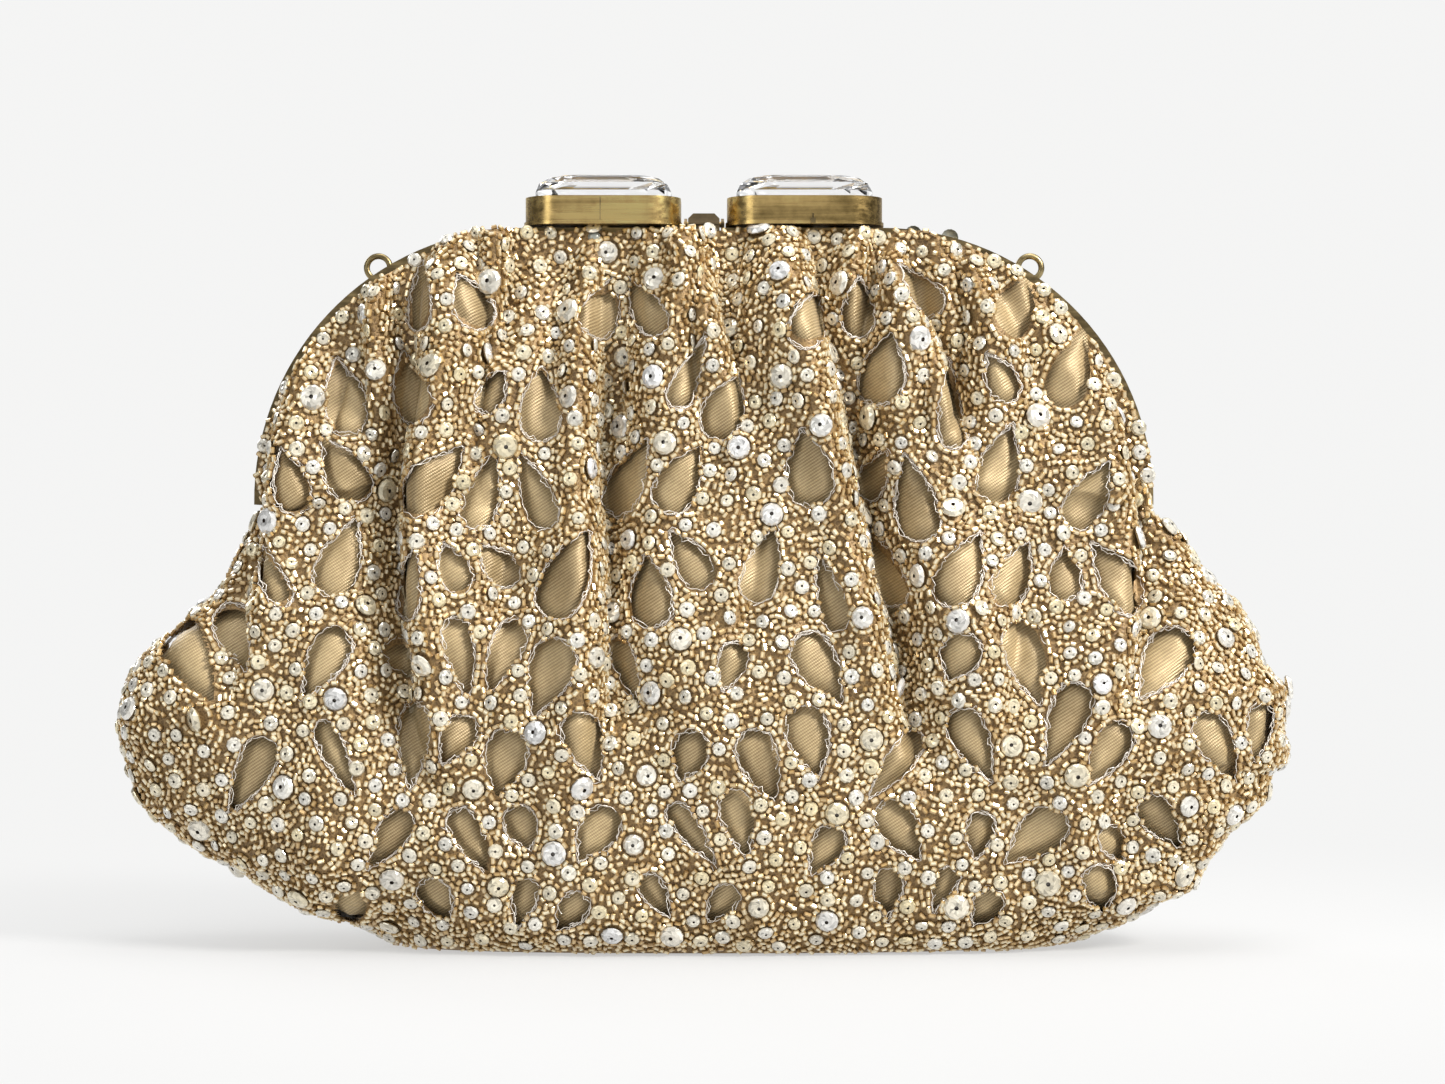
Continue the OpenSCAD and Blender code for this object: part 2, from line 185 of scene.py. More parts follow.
def satin_mat(name, dark, mid, light, sheen):
    m, nt, p = new_mat(name)
    # fine diagonal ribs of the satin twill, 0.7 mm apart, crossed by a finer warp
    v1 = coords(nt, rot=(0, math.radians(33), 0))
    w1 = nt.nodes.new("ShaderNodeTexWave"); w1.wave_type = "BANDS"; w1.bands_direction = "Z"; w1.wave_profile = "SIN"
    w1.inputs["Scale"].default_value = 0.31416 / 0.00056; w1.inputs["Distortion"].default_value = 0.5
    w1.inputs["Detail"].default_value = 1; w1.inputs["Detail Scale"].default_value = 1.5
    nt.links.new(v1, w1.inputs["Vector"])
    v2 = coords(nt, rot=(0, math.radians(-52), 0))
    w2 = nt.nodes.new("ShaderNodeTexWave"); w2.wave_type = "BANDS"; w2.bands_direction = "Z"; w2.wave_profile = "SIN"
    w2.inputs["Scale"].default_value = 0.31416 / 0.00040; w2.inputs["Distortion"].default_value = 0.6
    nt.links.new(v2, w2.inputs["Vector"])
    v = coords(nt)
    cloud = noise(nt, v, 60, 4)
    fine = noise(nt, v, 900, 3)
    weave = math_node(nt, "ADD", math_node(nt, "MULTIPLY", w1.outputs["Fac"], 0.75), math_node(nt, "MULTIPLY", w2.outputs["Fac"], 0.25))
    base = ramp(nt, math_node(nt, "ADD", math_node(nt, "MULTIPLY", weave, 0.62), math_node(nt, "MULTIPLY", fine, 0.38)),
                [(0.14, dark), (0.5, mid), (0.86, light)])
    col = mixc(nt, 0.35, base, ramp(nt, cloud, [(0.35, dark), (0.65, light)]))
    nt.links.new(col, p.inputs["Base Color"])
    r = nt.nodes.new("ShaderNodeMapRange")
    r.inputs["To Min"].default_value = 0.34; r.inputs["To Max"].default_value = 0.52
    nt.links.new(fine, r.inputs[0]); nt.links.new(r.outputs[0], p.inputs["Roughness"])
    p.inputs["Metallic"].default_value = 0.25
    p.inputs["Sheen Weight"].default_value = sheen
    p.inputs["Sheen Roughness"].default_value = 0.35
    p.inputs["Sheen Tint"].default_value = (1.0, 0.9, 0.7, 1)
    p.inputs["Anisotropic"].default_value = 0.4
    bump(nt, p, weave, 0.6, 0.00014)
    return m

def brass_mat(name, dark, mid, bright, rough, brush_axis=0, patina=0.5, metallic=1.0):
    m, nt, p = new_mat(name)
    sc = [900, 900, 900]; sc[brush_axis] = 26
    vb = coords(nt, scale=tuple(sc))
    brush = noise(nt, vb, 1.0, 3, 0.6)
    v = coords(nt)
    big = noise(nt, v, 55, 5, 0.62)
    spots = noise(nt, v, 420, 4, 0.65)
    geo = nt.nodes.new("ShaderNodeNewGeometry")
    mixv = math_node(nt, "ADD", math_node(nt, "MULTIPLY", big, patina), math_node(nt, "ADD", math_node(nt, "MULTIPLY", spots, 0.25), math_node(nt, "MULTIPLY", brush, 0.45)))
    col = ramp(nt, mixv, [(0.36, dark), (0.56, mid), (0.82, bright)])
    # worn bright rims and dark hollows
    wear = ramp(nt, geo.outputs["Pointiness"], [(0.44, (0.25, 0.25, 0.25)), (0.5, (0.5, 0.5, 0.5)), (0.58, (1, 1, 1))])
    col = mixc(nt, 0.5, col, wear, "OVERLAY")
    nt.links.new(col, p.inputs["Base Color"])
    p.inputs["Metallic"].default_value = metallic
    r = nt.nodes.new("ShaderNodeMapRange")
    r.inputs["To Min"].default_value = rough - 0.1; r.inputs["To Max"].default_value = rough + 0.16
    nt.links.new(brush, r.inputs[0]); nt.links.new(r.outputs[0], p.inputs["Roughness"])
    bump(nt, p, math_node(nt, "ADD", math_node(nt, "MULTIPLY", brush, 0.7), math_node(nt, "MULTIPLY", spots, 0.5)), 0.35, 0.00012)
    return m

def tint_mat(name, metallic, rough, coat=0.0, gain=(1, 1, 1), ior=1.5, spec=0.5):
    m, nt, p = new_mat(name)
    a = nt.nodes.new("ShaderNodeAttribute"); a.attribute_name = "tint"
    v = coords(nt)
    n = noise(nt, v, 700, 2)
    col = mixc(nt, 0.25, a.outputs["Color"], ramp(nt, n, [(0.3, (0.35, 0.3, 0.22)), (0.7, (1, 1, 1))]), "MULTIPLY")
    nt.links.new(col, p.inputs["Base Color"])
    p.inputs["Metallic"].default_value = metallic
    p.inputs["Roughness"].default_value = rough
    p.inputs["Coat Weight"].default_value = coat
    p.inputs["Coat Roughness"].default_value = 0.05
    p.inputs["IOR"].default_value = ior
    return m

SATIN = satin_mat("satin", (0.19, 0.128, 0.058), (0.38, 0.275, 0.135), (0.64, 0.49, 0.27), 0.2)
LINING = satin_mat("lining_satin", (0.34, 0.26, 0.15), (0.5, 0.41, 0.26), (0.62, 0.52, 0.34), 0.25)
BRASS_BEZEL = brass_mat("antique_brass", (0.035, 0.026, 0.014), (0.23, 0.155, 0.055), (0.64, 0.45, 0.18), 0.24, patina=0.75)
BRASS_DARK = brass_mat("dark_frame_brass", (0.03, 0.024, 0.014), (0.10, 0.074, 0.036), (0.30, 0.225, 0.11), 0.38)
BRASS_RIVET = brass_mat("rivet_brass", (0.12, 0.08, 0.04), (0.34, 0.25, 0.12), (0.6, 0.47, 0.25), 0.36)
BRASS_LOOP = brass_mat("loop_brass", (0.05, 0.04, 0.022), (0.19, 0.145, 0.07), (0.5, 0.4, 0.21), 0.3)
BRONZE = brass_mat("dark_bronze", (0.03, 0.022, 0.014), (0.10, 0.075, 0.045), (0.24, 0.18, 0.1), 0.42)
BEAD = tint_mat("silver_lined_bead", 0.4, 0.2, coat=0.6)
STONE = tint_mat("small_stone", 0.36, 0.11, coat=1.0)
THREAD = tint_mat("metal_thread", 0.4, 0.38)

def net_mat():
    m, nt, p = new_mat("bead_net")
    v = coords(nt, scale=(1, 1, 1))
    vo = nt.nodes.new("ShaderNodeTexVoronoi"); vo.feature = "DISTANCE_TO_EDGE"
    vo.inputs["Scale"].default_value = 1250
    nt.links.new(v, vo.inputs["Vector"])
    n = noise(nt, v, 160, 4)
    cell = ramp(nt, vo.outputs["Distance"], [(0.02, (0.38, 0.245, 0.10)), (0.16, (0.16, 0.095, 0.038))])
    col = mixc(nt, 0.45, cell, ramp(nt, n, [(0.35, (0.14, 0.085, 0.034)), (0.65, (0.34, 0.22, 0.092))]))
    nt.links.new(col, p.inputs["Base Color"])
    p.inputs["Roughness"].default_value = 0.5
    p.inputs["Metallic"].default_value = 0.3
    bump(nt, p, vo.outputs["Distance"], 0.6, 0.0003)
    return m
NET = net_mat()

def crystal_mat():
    m, nt, p = new_mat("clear_crystal")
    v = coords(nt)
    n = noise(nt, v, 90, 2)
    nt.links.new(ramp(nt, n, [(0.3, (0.95, 0.95, 0.96)), (0.7, (1, 1, 1))]), p.inputs["Base Color"])
    p.inputs["Transmission Weight"].default_value = 1.0
    p.inputs["Roughness"].default_value = 0.0
    p.inputs["IOR"].default_value = 1.56
    return m
CRYSTAL = crystal_mat()

def simple_mat(name, a, b, scale, rough, metallic=0.0, bump_d=0.0002):
    m, nt, p = new_mat(name)
    v = coords(nt)
    n = noise(nt, v, scale, 5, 0.6)
    nt.links.new(ramp(nt, n, [(0.3, a), (0.7, b)]), p.inputs["Base Color"])
    p.inputs["Roughness"].default_value = rough; p.inputs["Metallic"].default_value = metallic
    bump(nt, p, n, 0.4, bump_d)
    return m
FOIL = simple_mat("foil", (0.62, 0.61, 0.58), (0.86, 0.85, 0.83), 240, 0.16, 1.0, 0.0002)
BOARD = simple_mat("grey_board", (0.36, 0.30, 0.22), (0.48, 0.42, 0.33), 500, 0.9)
PAPER = simple_mat("paper_cord", (0.6, 0.53, 0.4), (0.8, 0.74, 0.6), 700, 0.85)

# ------------------------------------------------------------- bag surface
# Outline of the cloth in the frontal view, half widths by height (mm)
LEFT = [(0, 58), (1.4, 62), (4, 66), (9.4, 81), (12.4, 87), (16.6, 93), (18.4, 99), (22, 104), (26.2, 109.5), (28.8, 112),
        (35.8, 114.5), (44.2, 116), (46.8, 115.6), (53, 114), (57.2, 111.6), (62.8, 105), (66.8, 100.4), (69, 97.4),
        (74, 94), (78, 92.3), (81.4, 90.4), (85, 89), (88, 86.8)]
RIGHT = [(0, 60), (2, 74), (5.8, 83), (10.6, 91.6), (11.8, 96), (13.4, 98), (17.2, 99), (20, 101.6), (24.2, 105), (26.6, 108.6),
         (29.4, 111.3), (35.6, 112.8), (37, 115.4), (39.6, 116), (42.8, 114.8), (51, 115.6), (53, 113.2), (56, 110.8),
         (63.6, 108.4), (67.8, 106), (73, 100), (78.4, 96.6), (82, 94.4), (85, 91), (88, 88)]
DEPTH = [(0, 15.5), (4, 19), (10, 22.5), (20, 25.3), (40, 26.2), (60, 25.4), (75, 23.2), (85, 21), (88, 20.4)]
AF, AR, AZ = 35.0, 54.0, 88.8

def arch_point(u, r, side_scale=1.0):
    half = AF + r * math.radians(87.5)
    s = np.abs(u) * half
    be = np.clip((s - AF) / r, 0, None)
    x = np.where(s < AF, s, AF + r * np.sin(be)); z = np.where(s < AF, AZ + r, AZ + r * np.cos(be))
    return np.sign(u) * x, z

def section_columns(n):
    th = np.linspace(0, np.pi, 4001)
    X = -np.sign(np.cos(th)) * np.abs(np.cos(th)) ** 0.78; Y = np.abs(np.sin(th)) ** 0.78
    s = np.concatenate([[0], np.cumsum(np.hypot(np.diff(X) * 105, np.diff(Y) * 25))])
    t = np.linspace(0, s[-1], n)
    return np.interp(t, s, X), np.interp(t, s, Y)

class Side:
    """One face of the cloth: sgn -1 for the front, +1 for the rear."""
    def __init__(self, sgn, seed):
        self.sgn = sgn; self.steep = -1; self.steep_sign = 1
        self.n1, self.n2, self.n3, self.n4 = (Noise(seed + k) for k in range(4))
        if sgn < 0:
            # creases (x, z) from the frame downwards, with depth in mm and half width
            self.creases = [
                ([(-54, 140), (-57, 124), (-60, 100), (-61, 72), (-58, 48), (-52, 30)], [3.5, 6.5, 8, 8, 5, 0], 3.3),
                ([(-66, 132), (-68, 115), (-66, 96)], [3, 4.5, 0], 2.6),
                ([(-17, 141), (-20, 124), (-21, 100), (-19, 76), (-18, 50), (-22, 30)], [4, 6.5, 7.0, 6.5, 4.5, 0], 3.0),
                ([(22, 141), (24, 124), (28, 104), (32, 84), (36, 66), (40, 46), (44, 30)], [4, 7, 8, 8, 8, 5, 0], 3.2),
                ([(40, 141), (46, 124), (51, 108), (54, 92)], [3.5, 5.5, 5.5, 0], 2.8),
                ([(76, 124), (84, 104), (87, 82), (85, 62), (80, 46)], [1, 3.5, 4.5, 4, 0], 2.8),
                ([(-84, 108), (-86, 84), (-90, 62), (-94, 44)], [1.5, 3.5, 3.0, 0], 2.8),
                ([(-36, 142), (-39, 128), (-40, 112)], [3.5, 4.2, 0], 2.4),
                ([(2, 142), (3, 128), (6, 112), (8, 96)], [3.5, 4.0, 2.8, 0], 2.4),
                ([(12, 92), (10, 72), (6, 52)], [0, 2.4, 0], 3.2),
                ([(-38, 96), (-40, 74), (-38, 54)], [0, 2.6, 0], 3.4),
                ([(62, 84), (62, 62), (58, 40)], [0, 2.8, 0], 3.4)]
        else:
            self.creases = [
                ([(58, 138), (60, 118), (63, 92), (60, 64), (54, 36)], [1.5, 5.5, 7, 6, 0], 3.2),
                ([(24, 141), (22, 120), (20, 94), (24, 66), (28, 40)], [1.5, 5, 6, 5, 0], 3.1),
                ([(-8, 142), (-10, 122), (-9, 96), (-5, 70)], [1.5, 4.5, 4.5, 0], 2.8),
                ([(-34, 141), (-36, 122), (-40, 96), (-44, 66), (-46, 38)], [2, 6, 7, 6, 0], 3.2),
                ([(-66, 130), (-72, 108), (-76, 84), (-74, 58)], [1.5, 4.5, 4.5, 0], 2.9),
                ([(82, 110), (86, 86), (90, 60)], [1.5, 4, 0], 2.8),
                ([(40, 142), (42, 126), (40, 108)], [1.5, 3.2, 0], 2.4)]

    def folds(self, x, z):
        """height of the gathers over the smooth bag, mm, outward positive"""
        f = np.zeros_like(x, float)
        wob = self.n1(x / 30 + 5, z / 22) * 1.4
        for pts, depth, w in self.creases:
            zs = np.array([p[1] for p in pts], float)[::-1]; xs = np.array([p[0] for p in pts], float)[::-1]
            ds = np.array(depth, float)[::-1]
            cx = np.interp(z, zs, xs) + wob; d = np.interp(z, zs, ds, left=0, right=ds[-1])
            dx = (x - cx) / w
            # one flank steeper than the other, with a raised lip beside the crease
            st = self.steep if pts[0][0] > -50 * self.steep_sign else -self.steep
            u = dx * st
            f -= 1.45 * d * np.exp(-np.abs(np.where(u > 0, u * 1.7, u * 0.56)) ** 1.6)
            f += d * 0.42 * np.exp(-((u - 1.9) / 1.25) ** 2) + 0.12 * d * np.exp(-((u + 4.2) / 2.2) ** 2)
        top = smooth(z, 96, 139)
        g = x + 4 * self.n2(x / 25, z / 30)
        f += (0.6 + 2.3 * top) * self.n3(g / (6.0 - 1.2 * top), z / 26)
        f += 1.9 * self.n2(x / 12 + 3, z / 24 + 9)
        # round puffs with sharp valleys between them, strongest near the frame
        rid = np.minimum(np.abs(self.n4(g / 9.5 + 20, z / 60 + 3)), 0.75)
        f += smooth(z, 84, 124) * (8.0 * np.sqrt(rid) - 4.0)
        f += 0.55 * self.n4(x / 5.5, z / 6.0)
        return f

    def base(self, X, Y, rows):
        """smooth surface for section columns X, Y and row parameters; returns x, y(outward), z grids"""
        k = np.asarray(rows, float)[:, None]; X = X[None, :]; Y = Y[None, :]
        # rows: -1..0 base, 0..1 pouch, 1..2 upper cloth
        t = np.clip(k, 0, 1); z_p = 0.35 + (88 - 0.35) * t ** 1.12
        A = np.where(X < 0, lut(z_p, LEFT), lut(z_p, RIGHT))
        D = lut(z_p, DEPTH)
        E = 3.9 * smooth(z_p, 78, 88)
        x = A * X; y = E + (D - E) * Y; z = z_p + 0 * X
        # under the bag
        q = np.clip(-k, 0, 1)
        x = np.where(k < 0, x * (1 - 0.10 * q), x); y = np.where(k < 0, y * (1 - q), y); z = np.where(k < 0, 0.35 + 0 * X, z)
        # upper cloth
        v = np.clip(k - 1, 0, 1)
        A8 = np.where(X < 0, lut(88, LEFT), lut(88, RIGHT))
        x1, z1 = arch_point(X, AR - 1.6 + 1.0 * smooth(np.abs(X), 0.78, 0.97))
        xt = (1 - v) * A8 * X + v * x1; zt = (1 - v) * 88 + v * z1
        E8 = 3.9 + (7.75 - 3.9) * smooth(v, 0, 0.12)
        D8 = lut(88, DEPTH)
        yt = E8 + (D8 - E8) * Y * np.clip(1 - v ** 1.8, 0, 1) ** 0.85
        up = k > 1
        return np.where(up, xt, x), np.where(up, yt, y), np.where(up, zt, z)

    def build(self, ncol, rows, extra):
        X, Y = section_columns(ncol)
        x, y, z = self.base(X, Y, rows)
        P = np.stack([x, self.sgn * y, z], -1)
        du = np.gradient(P, axis=1); dv = np.gradient(P, axis=0)
        nrm = np.cross(du, dv); nrm /= np.linalg.norm(nrm, axis=-1, keepdims=True) + 1e-9
        out = np.stack([x * 0.15, self.sgn * (np.abs(y) + 4), (z - 60) * 0.12], -1)
        nrm *= np.sign((nrm * out).sum(-1, keepdims=True) + 1e-9)
        k = np.asarray(rows)[:, None] + 0 * X[None, :]
        edge = 1 - smooth(np.abs(X), 0.955, 1.0)[None, :] * 0.75
        low = smooth(k, 0.0, 0.12)
        topfade = 1 - 0.35 * smooth(k, 1.94, 2.0)
        d = self.folds(x, z) * edge * low * topfade
        d = d + extra * np.where(k < 0, 0.0, 1.0) * smooth(k, -0.01, 0.03)
        # near the frame's rim the gathers only stand out forwards
        flat = smooth(k, 1.72, 1.98)[..., None]
        dirn = nrm * (1 - flat) + np.array([0.0, self.sgn, 0.0]) * flat
        P = P + dirn * d[..., None]
        # keep clear of the metal frame, and off the floor
        lim = 7.15 + (1.15 if extra > -1 else 0.0)
        fr = smooth(P[..., 2], 87, 91)
        far = self.sgn * P[..., 1]
        over = far - lim
        soft = lim + 0.5 * (over + np.sqrt(over ** 2 + 0.8))
        P[..., 1] = self.sgn * np.maximum((1 - fr) * np.maximum(far, 0) + fr * soft, 0)
        P[..., 2] += smooth(k, 1.84, 2.0) * (1.5 + 2.6 * self.n4(x / 4.5, 7.3 + 0 * z)) * (1 - smooth(np.abs(x), 36, 60)) * (extra > -1)
        P[..., 2] = np.minimum(P[..., 2], 142.1)
        P[..., 2] = np.maximum(P[..., 2], 0.25 if extra > -1 else 1.2)
        return P, nrm, x, z, k

def rows_for(npouch, nup, nbase):
    return np.concatenate([np.linspace(-1, -1 / nbase, nbase), np.linspace(0, 1, npouch, endpoint=False), np.linspace(1, 2, nup)])

# -------------------------------------------------- openings of the net
def leaf_layout(seed):
    """narrow-end, wide-end points and half widths of every opening in the net"""
    rng = np.random.default_rng(seed)
    kept = []
    # scalloped rows: in the upper ones the narrow end points up, lower down it points down
    for r, (cz, way, sh) in enumerate([(130, 1, 0.8), (112.5, 1, 1), (94, 1, 1), (75.5, 1, 1), (57, -1, 1), (39.5, -1, 1), (23, -1, 0.85), (9.5, -1, 0.55)]):
        ph = r * 1.9 + rng.uniform(0, 1.2)
        x = -124 + rng.uniform(0, 6)
        while x < 124:
            wob = math.sin(2 * math.pi * x / 41 + ph)
            sc = math.cos(2 * math.pi * x / 41 + ph)
            x += 7.4 + rng.uniform(-1.0, 2.6)
            if rng.random() < 0.04:
                continue
            mz = cz + 3.0 * sc + rng.normal(0, 1.5); mx = x + rng.normal(0, 0.5)
            an = -way * 0.55 * wob + rng.normal(0, 0.13)
            ln = rng.uniform(9.4, 13.6) * sh; w = rng.uniform(3.3, 4.6) * (0.5 + 0.5 * sh)
            u = rng.random()
            if u < 0.12:
                ln *= 0.65; w *= 0.8
            elif u < 0.32:
                ln *= 1.18; w *= 0.72
            dx, dz = math.sin(an), -math.cos(an) * way
            L = (mx - dx * ln * 0.6, mz - dz * ln * 0.6, mx + dx * ln * 0.4, mz + dz * ln * 0.4, w, rng.random())
            A = min(float(lut(mz, LEFT if mx < 0 else RIGHT)) if mz < 88 else 200.0,
                    AF + math.sqrt(max(0, 52.7 ** 2 - (mz - AZ) ** 2)) if mz > AZ else 200.0)
            if mz < 7.5 or mz > 131.5 or abs(mx) > A - 6.2:
                continue
            tt = np.linspace(0, 1, 6); rr = leaf_rad(tt, w)
            c1 = np.stack([L[0] + (L[2] - L[0]) * tt, L[1] + (L[3] - L[1]) * tt], 1)
            bad = False
            for K in kept:
                if abs(K[0] - mx) < 26 and abs(K[1] - mz) < 26:
                    c2 = np.stack([K[0] + (K[2] - K[0]) * tt, K[1] + (K[3] - K[1]) * tt], 1)
                    gap = np.hypot(*(c1[:, None] - c2[None]).transpose(2, 0, 1)) - rr[:, None] - leaf_rad(tt, K[4])[None]
                    if gap.min() < 1.55:
                        bad = True; break
            if bad or c1[:, 1].min() < 3.2 + w * 0.5:
                continue
            kept.append(L)
    return np.array(kept)

def leaf_rad(t, w):
    """half width along an opening: a sharp end that widens to a round one"""
    return w * (0.07 + 0.93 * np.sin(np.pi / 2 * np.clip(t / 0.84, 0, 1)) ** 1.15)

def leaf_sdf(x, z, leaves, want=False):
    """distance to the nearest opening's outline (mm), negative inside"""
    x = np.asarray(x, float); z = np.asarray(z, float)
    best = np.full(x.shape, 1e3); who = np.zeros(x.shape, int)
    for i, (ax, az, bx, bz, w, _) in enumerate(leaves):
        vx, vz = bx - ax, bz - az; L = math.hypot(vx, vz)
        px, pz = x - ax, z - az
        near = (np.abs(x - (ax + bx) / 2) < L / 2 + 14) & (np.abs(z - (az + bz) / 2) < L / 2 + 14)
        if not near.any():
            continue
        t = np.clip((px[near] * vx + pz[near] * vz) / (L * L), 0, 1)
        dist = np.hypot(px[near] - t * vx, pz[near] - t * vz)
        rad = leaf_rad(t, w)
        s = dist - rad
        b = best[near]; m = s < b
        b[m] = s[m]; best[near] = b
        wv = who[near]; wv[m] = i; who[near] = wv
    return (best, who) if want else best

# -------------------------------------------------------- bead templates
def ring_template(radii, xs, n, phase=0.0):
    v = []
    for r, x in zip(radii, xs):
        for k in range(n):
            a = 2 * math.pi * (k + phase) / n
            v.append((x, r * math.cos(a), r * math.sin(a)))
    loops, sizes = [], []
    for i in range(len(xs) - 1):
        for k in range(n):
            loops += [i * n + k, (i + 1) * n + k, (i + 1) * n + (k + 1) % n, i * n + (k + 1) % n]; sizes.append(4)
    loops += list(range(n)); sizes.append(n)
    loops += list(range((len(xs) - 1) * n, len(xs) * n))[::-1]; sizes.append(n)
    return np.array(v), np.array(loops), np.array(sizes)

def bead_template():
    v, l, s = ring_template([0.38, 0.49, 0.49, 0.49, 0.49, 0.38], [-0.82, -0.66, -0.42, 0.42, 0.66, 0.82], 6, 0.5)
    # painted highlight and shade: the middle of each bead's top, which faces out from the cloth, is marked bright as a
    # painted highlight, and its sides and ends dark as painted shade
    bright = np.where(v[:, 2] > 0.3, 1.0, np.where(v[:, 2] > 0.2, 0.2, 0.0)) * np.where(np.abs(v[:, 0]) < 0.5, 1.0, 0.1)
    return v, l, s, bright

def stone_template(r, n, holes):
    """faceted sew-on stone, table up along +Z"""
    rr = [r * 0.86, r, r * 0.98, r * 0.78, r * 0.46, r * 0.17, r * 0.13]
    zz = [0.0, r * 0.16, r * 0.27, r * 0.50, r * 0.57, r * 0.53, r * 0.25]
    v = []
    for i, (a, b) in enumerate(zip(rr, zz)):
        for k in range(n):
            ang = 2 * math.pi * (k + (0.5 if i in (3,) else 0)) / n
            v.append((a * math.cos(ang), a * math.sin(ang), b))
    loops, sizes = [], []
    for i in range(len(rr) - 1):
        for k in range(n):
            a, b, c, d = i * n + k, i * n + (k + 1) % n, (i + 1) * n + (k + 1) % n, (i + 1) * n + k
            if i in (2, 3):
                loops += [a, b, d, b, c, d]; sizes += [3, 3]
            else:
                loops += [a, b, c, d]; sizes.append(4)
    loops += list(range(n))[::-1]; sizes.append(n)
    loops += list(range((len(rr) - 1) * n, len(rr) * n)); sizes.append(n)
    lev = np.repeat(np.arange(len(rr)), n)
    return np.array(v, float), np.array(loops), np.array(sizes), lev

def scatter(name, tmpl, pos, T, Bn, Nn, scale, col, mat, chunk, lift=0.0, facets=False):
    """joined copies of a template: T, Bn, Nn are each copy's axes, scale (n,3), col (n,k,3)"""
    tv, tl, ts = tmpl
    obs = []
    for c, s in enumerate(range(0, len(pos), chunk)):
        e = min(len(pos), s + chunk); n = e - s
        loc = tv[None] * scale[s:e, None, :]
        V = (pos[s:e, None] + loc[..., :1] * T[s:e, None] + loc[..., 1:2] * Bn[s:e, None] + (loc[..., 2:] + lift) * Nn[s:e, None])
        L = (tl[None] + (np.arange(n) * len(tv))[:, None]).ravel()
        S = np.tile(ts, n)
        kw = {"face_col": col[s:e].reshape(-1, 3)} if facets else {"point_col": col[s:e].reshape(-1, 3)}
        obs.append(make_mesh(f"{name}_{c + 1}", V.reshape(-1, 3), L, S, [mat], **kw))
    return obs

def tube(paths, radius, sides=4):
    """joined closed or open tubes along polylines (mm)"""
    V, L, S = [], [], []
    off = 0
    for P, closed in paths:
        P = np.asarray(P, float); n = len(P)
        if n < 3:
            continue
        d = (np.roll(P, -1, 0) - np.roll(P, 1, 0)) if closed else np.gradient(P, axis=0)
        d /= np.linalg.norm(d, axis=1, keepdims=True) + 1e-9
        ref = np.tile([0.13, 1.0, 0.07], (n, 1))
        a = np.cross(d, ref); a /= np.linalg.norm(a, axis=1, keepdims=True) + 1e-9
        b = np.cross(d, a)
        ang = 2 * np.pi * np.arange(sides) / sides
        ring = P[:, None] + radius * (np.cos(ang)[None, :, None] * a[:, None] + np.sin(ang)[None, :, None] * b[:, None])
        V.append(ring.reshape(-1, 3))
        m = n if closed else n - 1
        i, k = np.meshgrid(np.arange(m), np.arange(sides), indexing="ij")
        i2 = (i + 1) % n; k2 = (k + 1) % sides
        q = np.stack([i * sides + k, i2 * sides + k, i2 * sides + k2, i * sides + k2], -1).reshape(-1, 4) + off
        L.append(q.ravel()); S.append(np.full(len(q), 4))
        if not closed:
            L.append(np.arange(sides)[::-1] + off); L.append(np.arange(sides) + off + (n - 1) * sides); S.append([sides, sides])
        off += n * sides
    return np.concatenate(V), np.concatenate(L), np.concatenate(S)

def poisson(P, rad, taken, taken_r, limit):
    """keeps points further than rad from each other and clear of the taken ones"""
    cell = max(rad, 0.6)
    grid = {}
    big = {}
    bc = 3.5
    for p, r in zip(taken, taken_r):
        big.setdefault((int(p[0] // bc), int(p[1] // bc), int(p[2] // bc)), []).append((p[0], p[1], p[2], r * r))
    out = []
    r2 = rad * rad
    for idx in range(len(P)):
        x, y, z = P[idx]
        c = (int(x // cell), int(y // cell), int(z // cell)); ok = True
        for dx in (-1, 0, 1):
            for dy in (-1, 0, 1):
                for dz in (-1, 0, 1):
                    for q in grid.get((c[0] + dx, c[1] + dy, c[2] + dz), ()):
                        if (q[0] - x) ** 2 + (q[1] - y) ** 2 + (q[2] - z) ** 2 < r2:
                            ok = False; break
                    if not ok: break
                if not ok: break
            if not ok: break
        if ok:
            b = (int(x // bc), int(y // bc), int(z // bc))
            for dx in (-1, 0, 1):
                for dy in (-1, 0, 1):
                    for dz in (-1, 0, 1):
                        for q in big.get((b[0] + dx, b[1] + dy, b[2] + dz), ()):
                            if (q[0] - x) ** 2 + (q[1] - y) ** 2 + (q[2] - z) ** 2 < q[3]:
                                ok = False; break
                        if not ok: break
                    if not ok: break
                if not ok: break
        if ok:
            grid.setdefault(c, []).append((x, y, z)); out.append(idx)
            if len(out) >= limit:
                break
    return np.array(out, int)

def frames_for(Nn, t2):
    """tangent along the planar direction t2 (x, z), kept on the surface"""
    T = np.stack([t2[:, 0], np.zeros(len(t2)), t2[:, 1]], 1)
    T = T - Nn * (T * Nn).sum(1, keepdims=True)
    T /= np.linalg.norm(T, axis=1, keepdims=True) + 1e-9
    return T, np.cross(Nn, T)

# bead colours: the cream is a painted highlight on the bead tops, where it is blended with the gold; gold to brown
# colours the sides and ends, kept darker as painted shade
BEAD_HIGHLIGHT_CREAM = np.array([1.0, 0.94, 0.71]); GOLD = np.array([0.66, 0.44, 0.17]); BROWN = np.array([0.32, 0.185, 0.065])

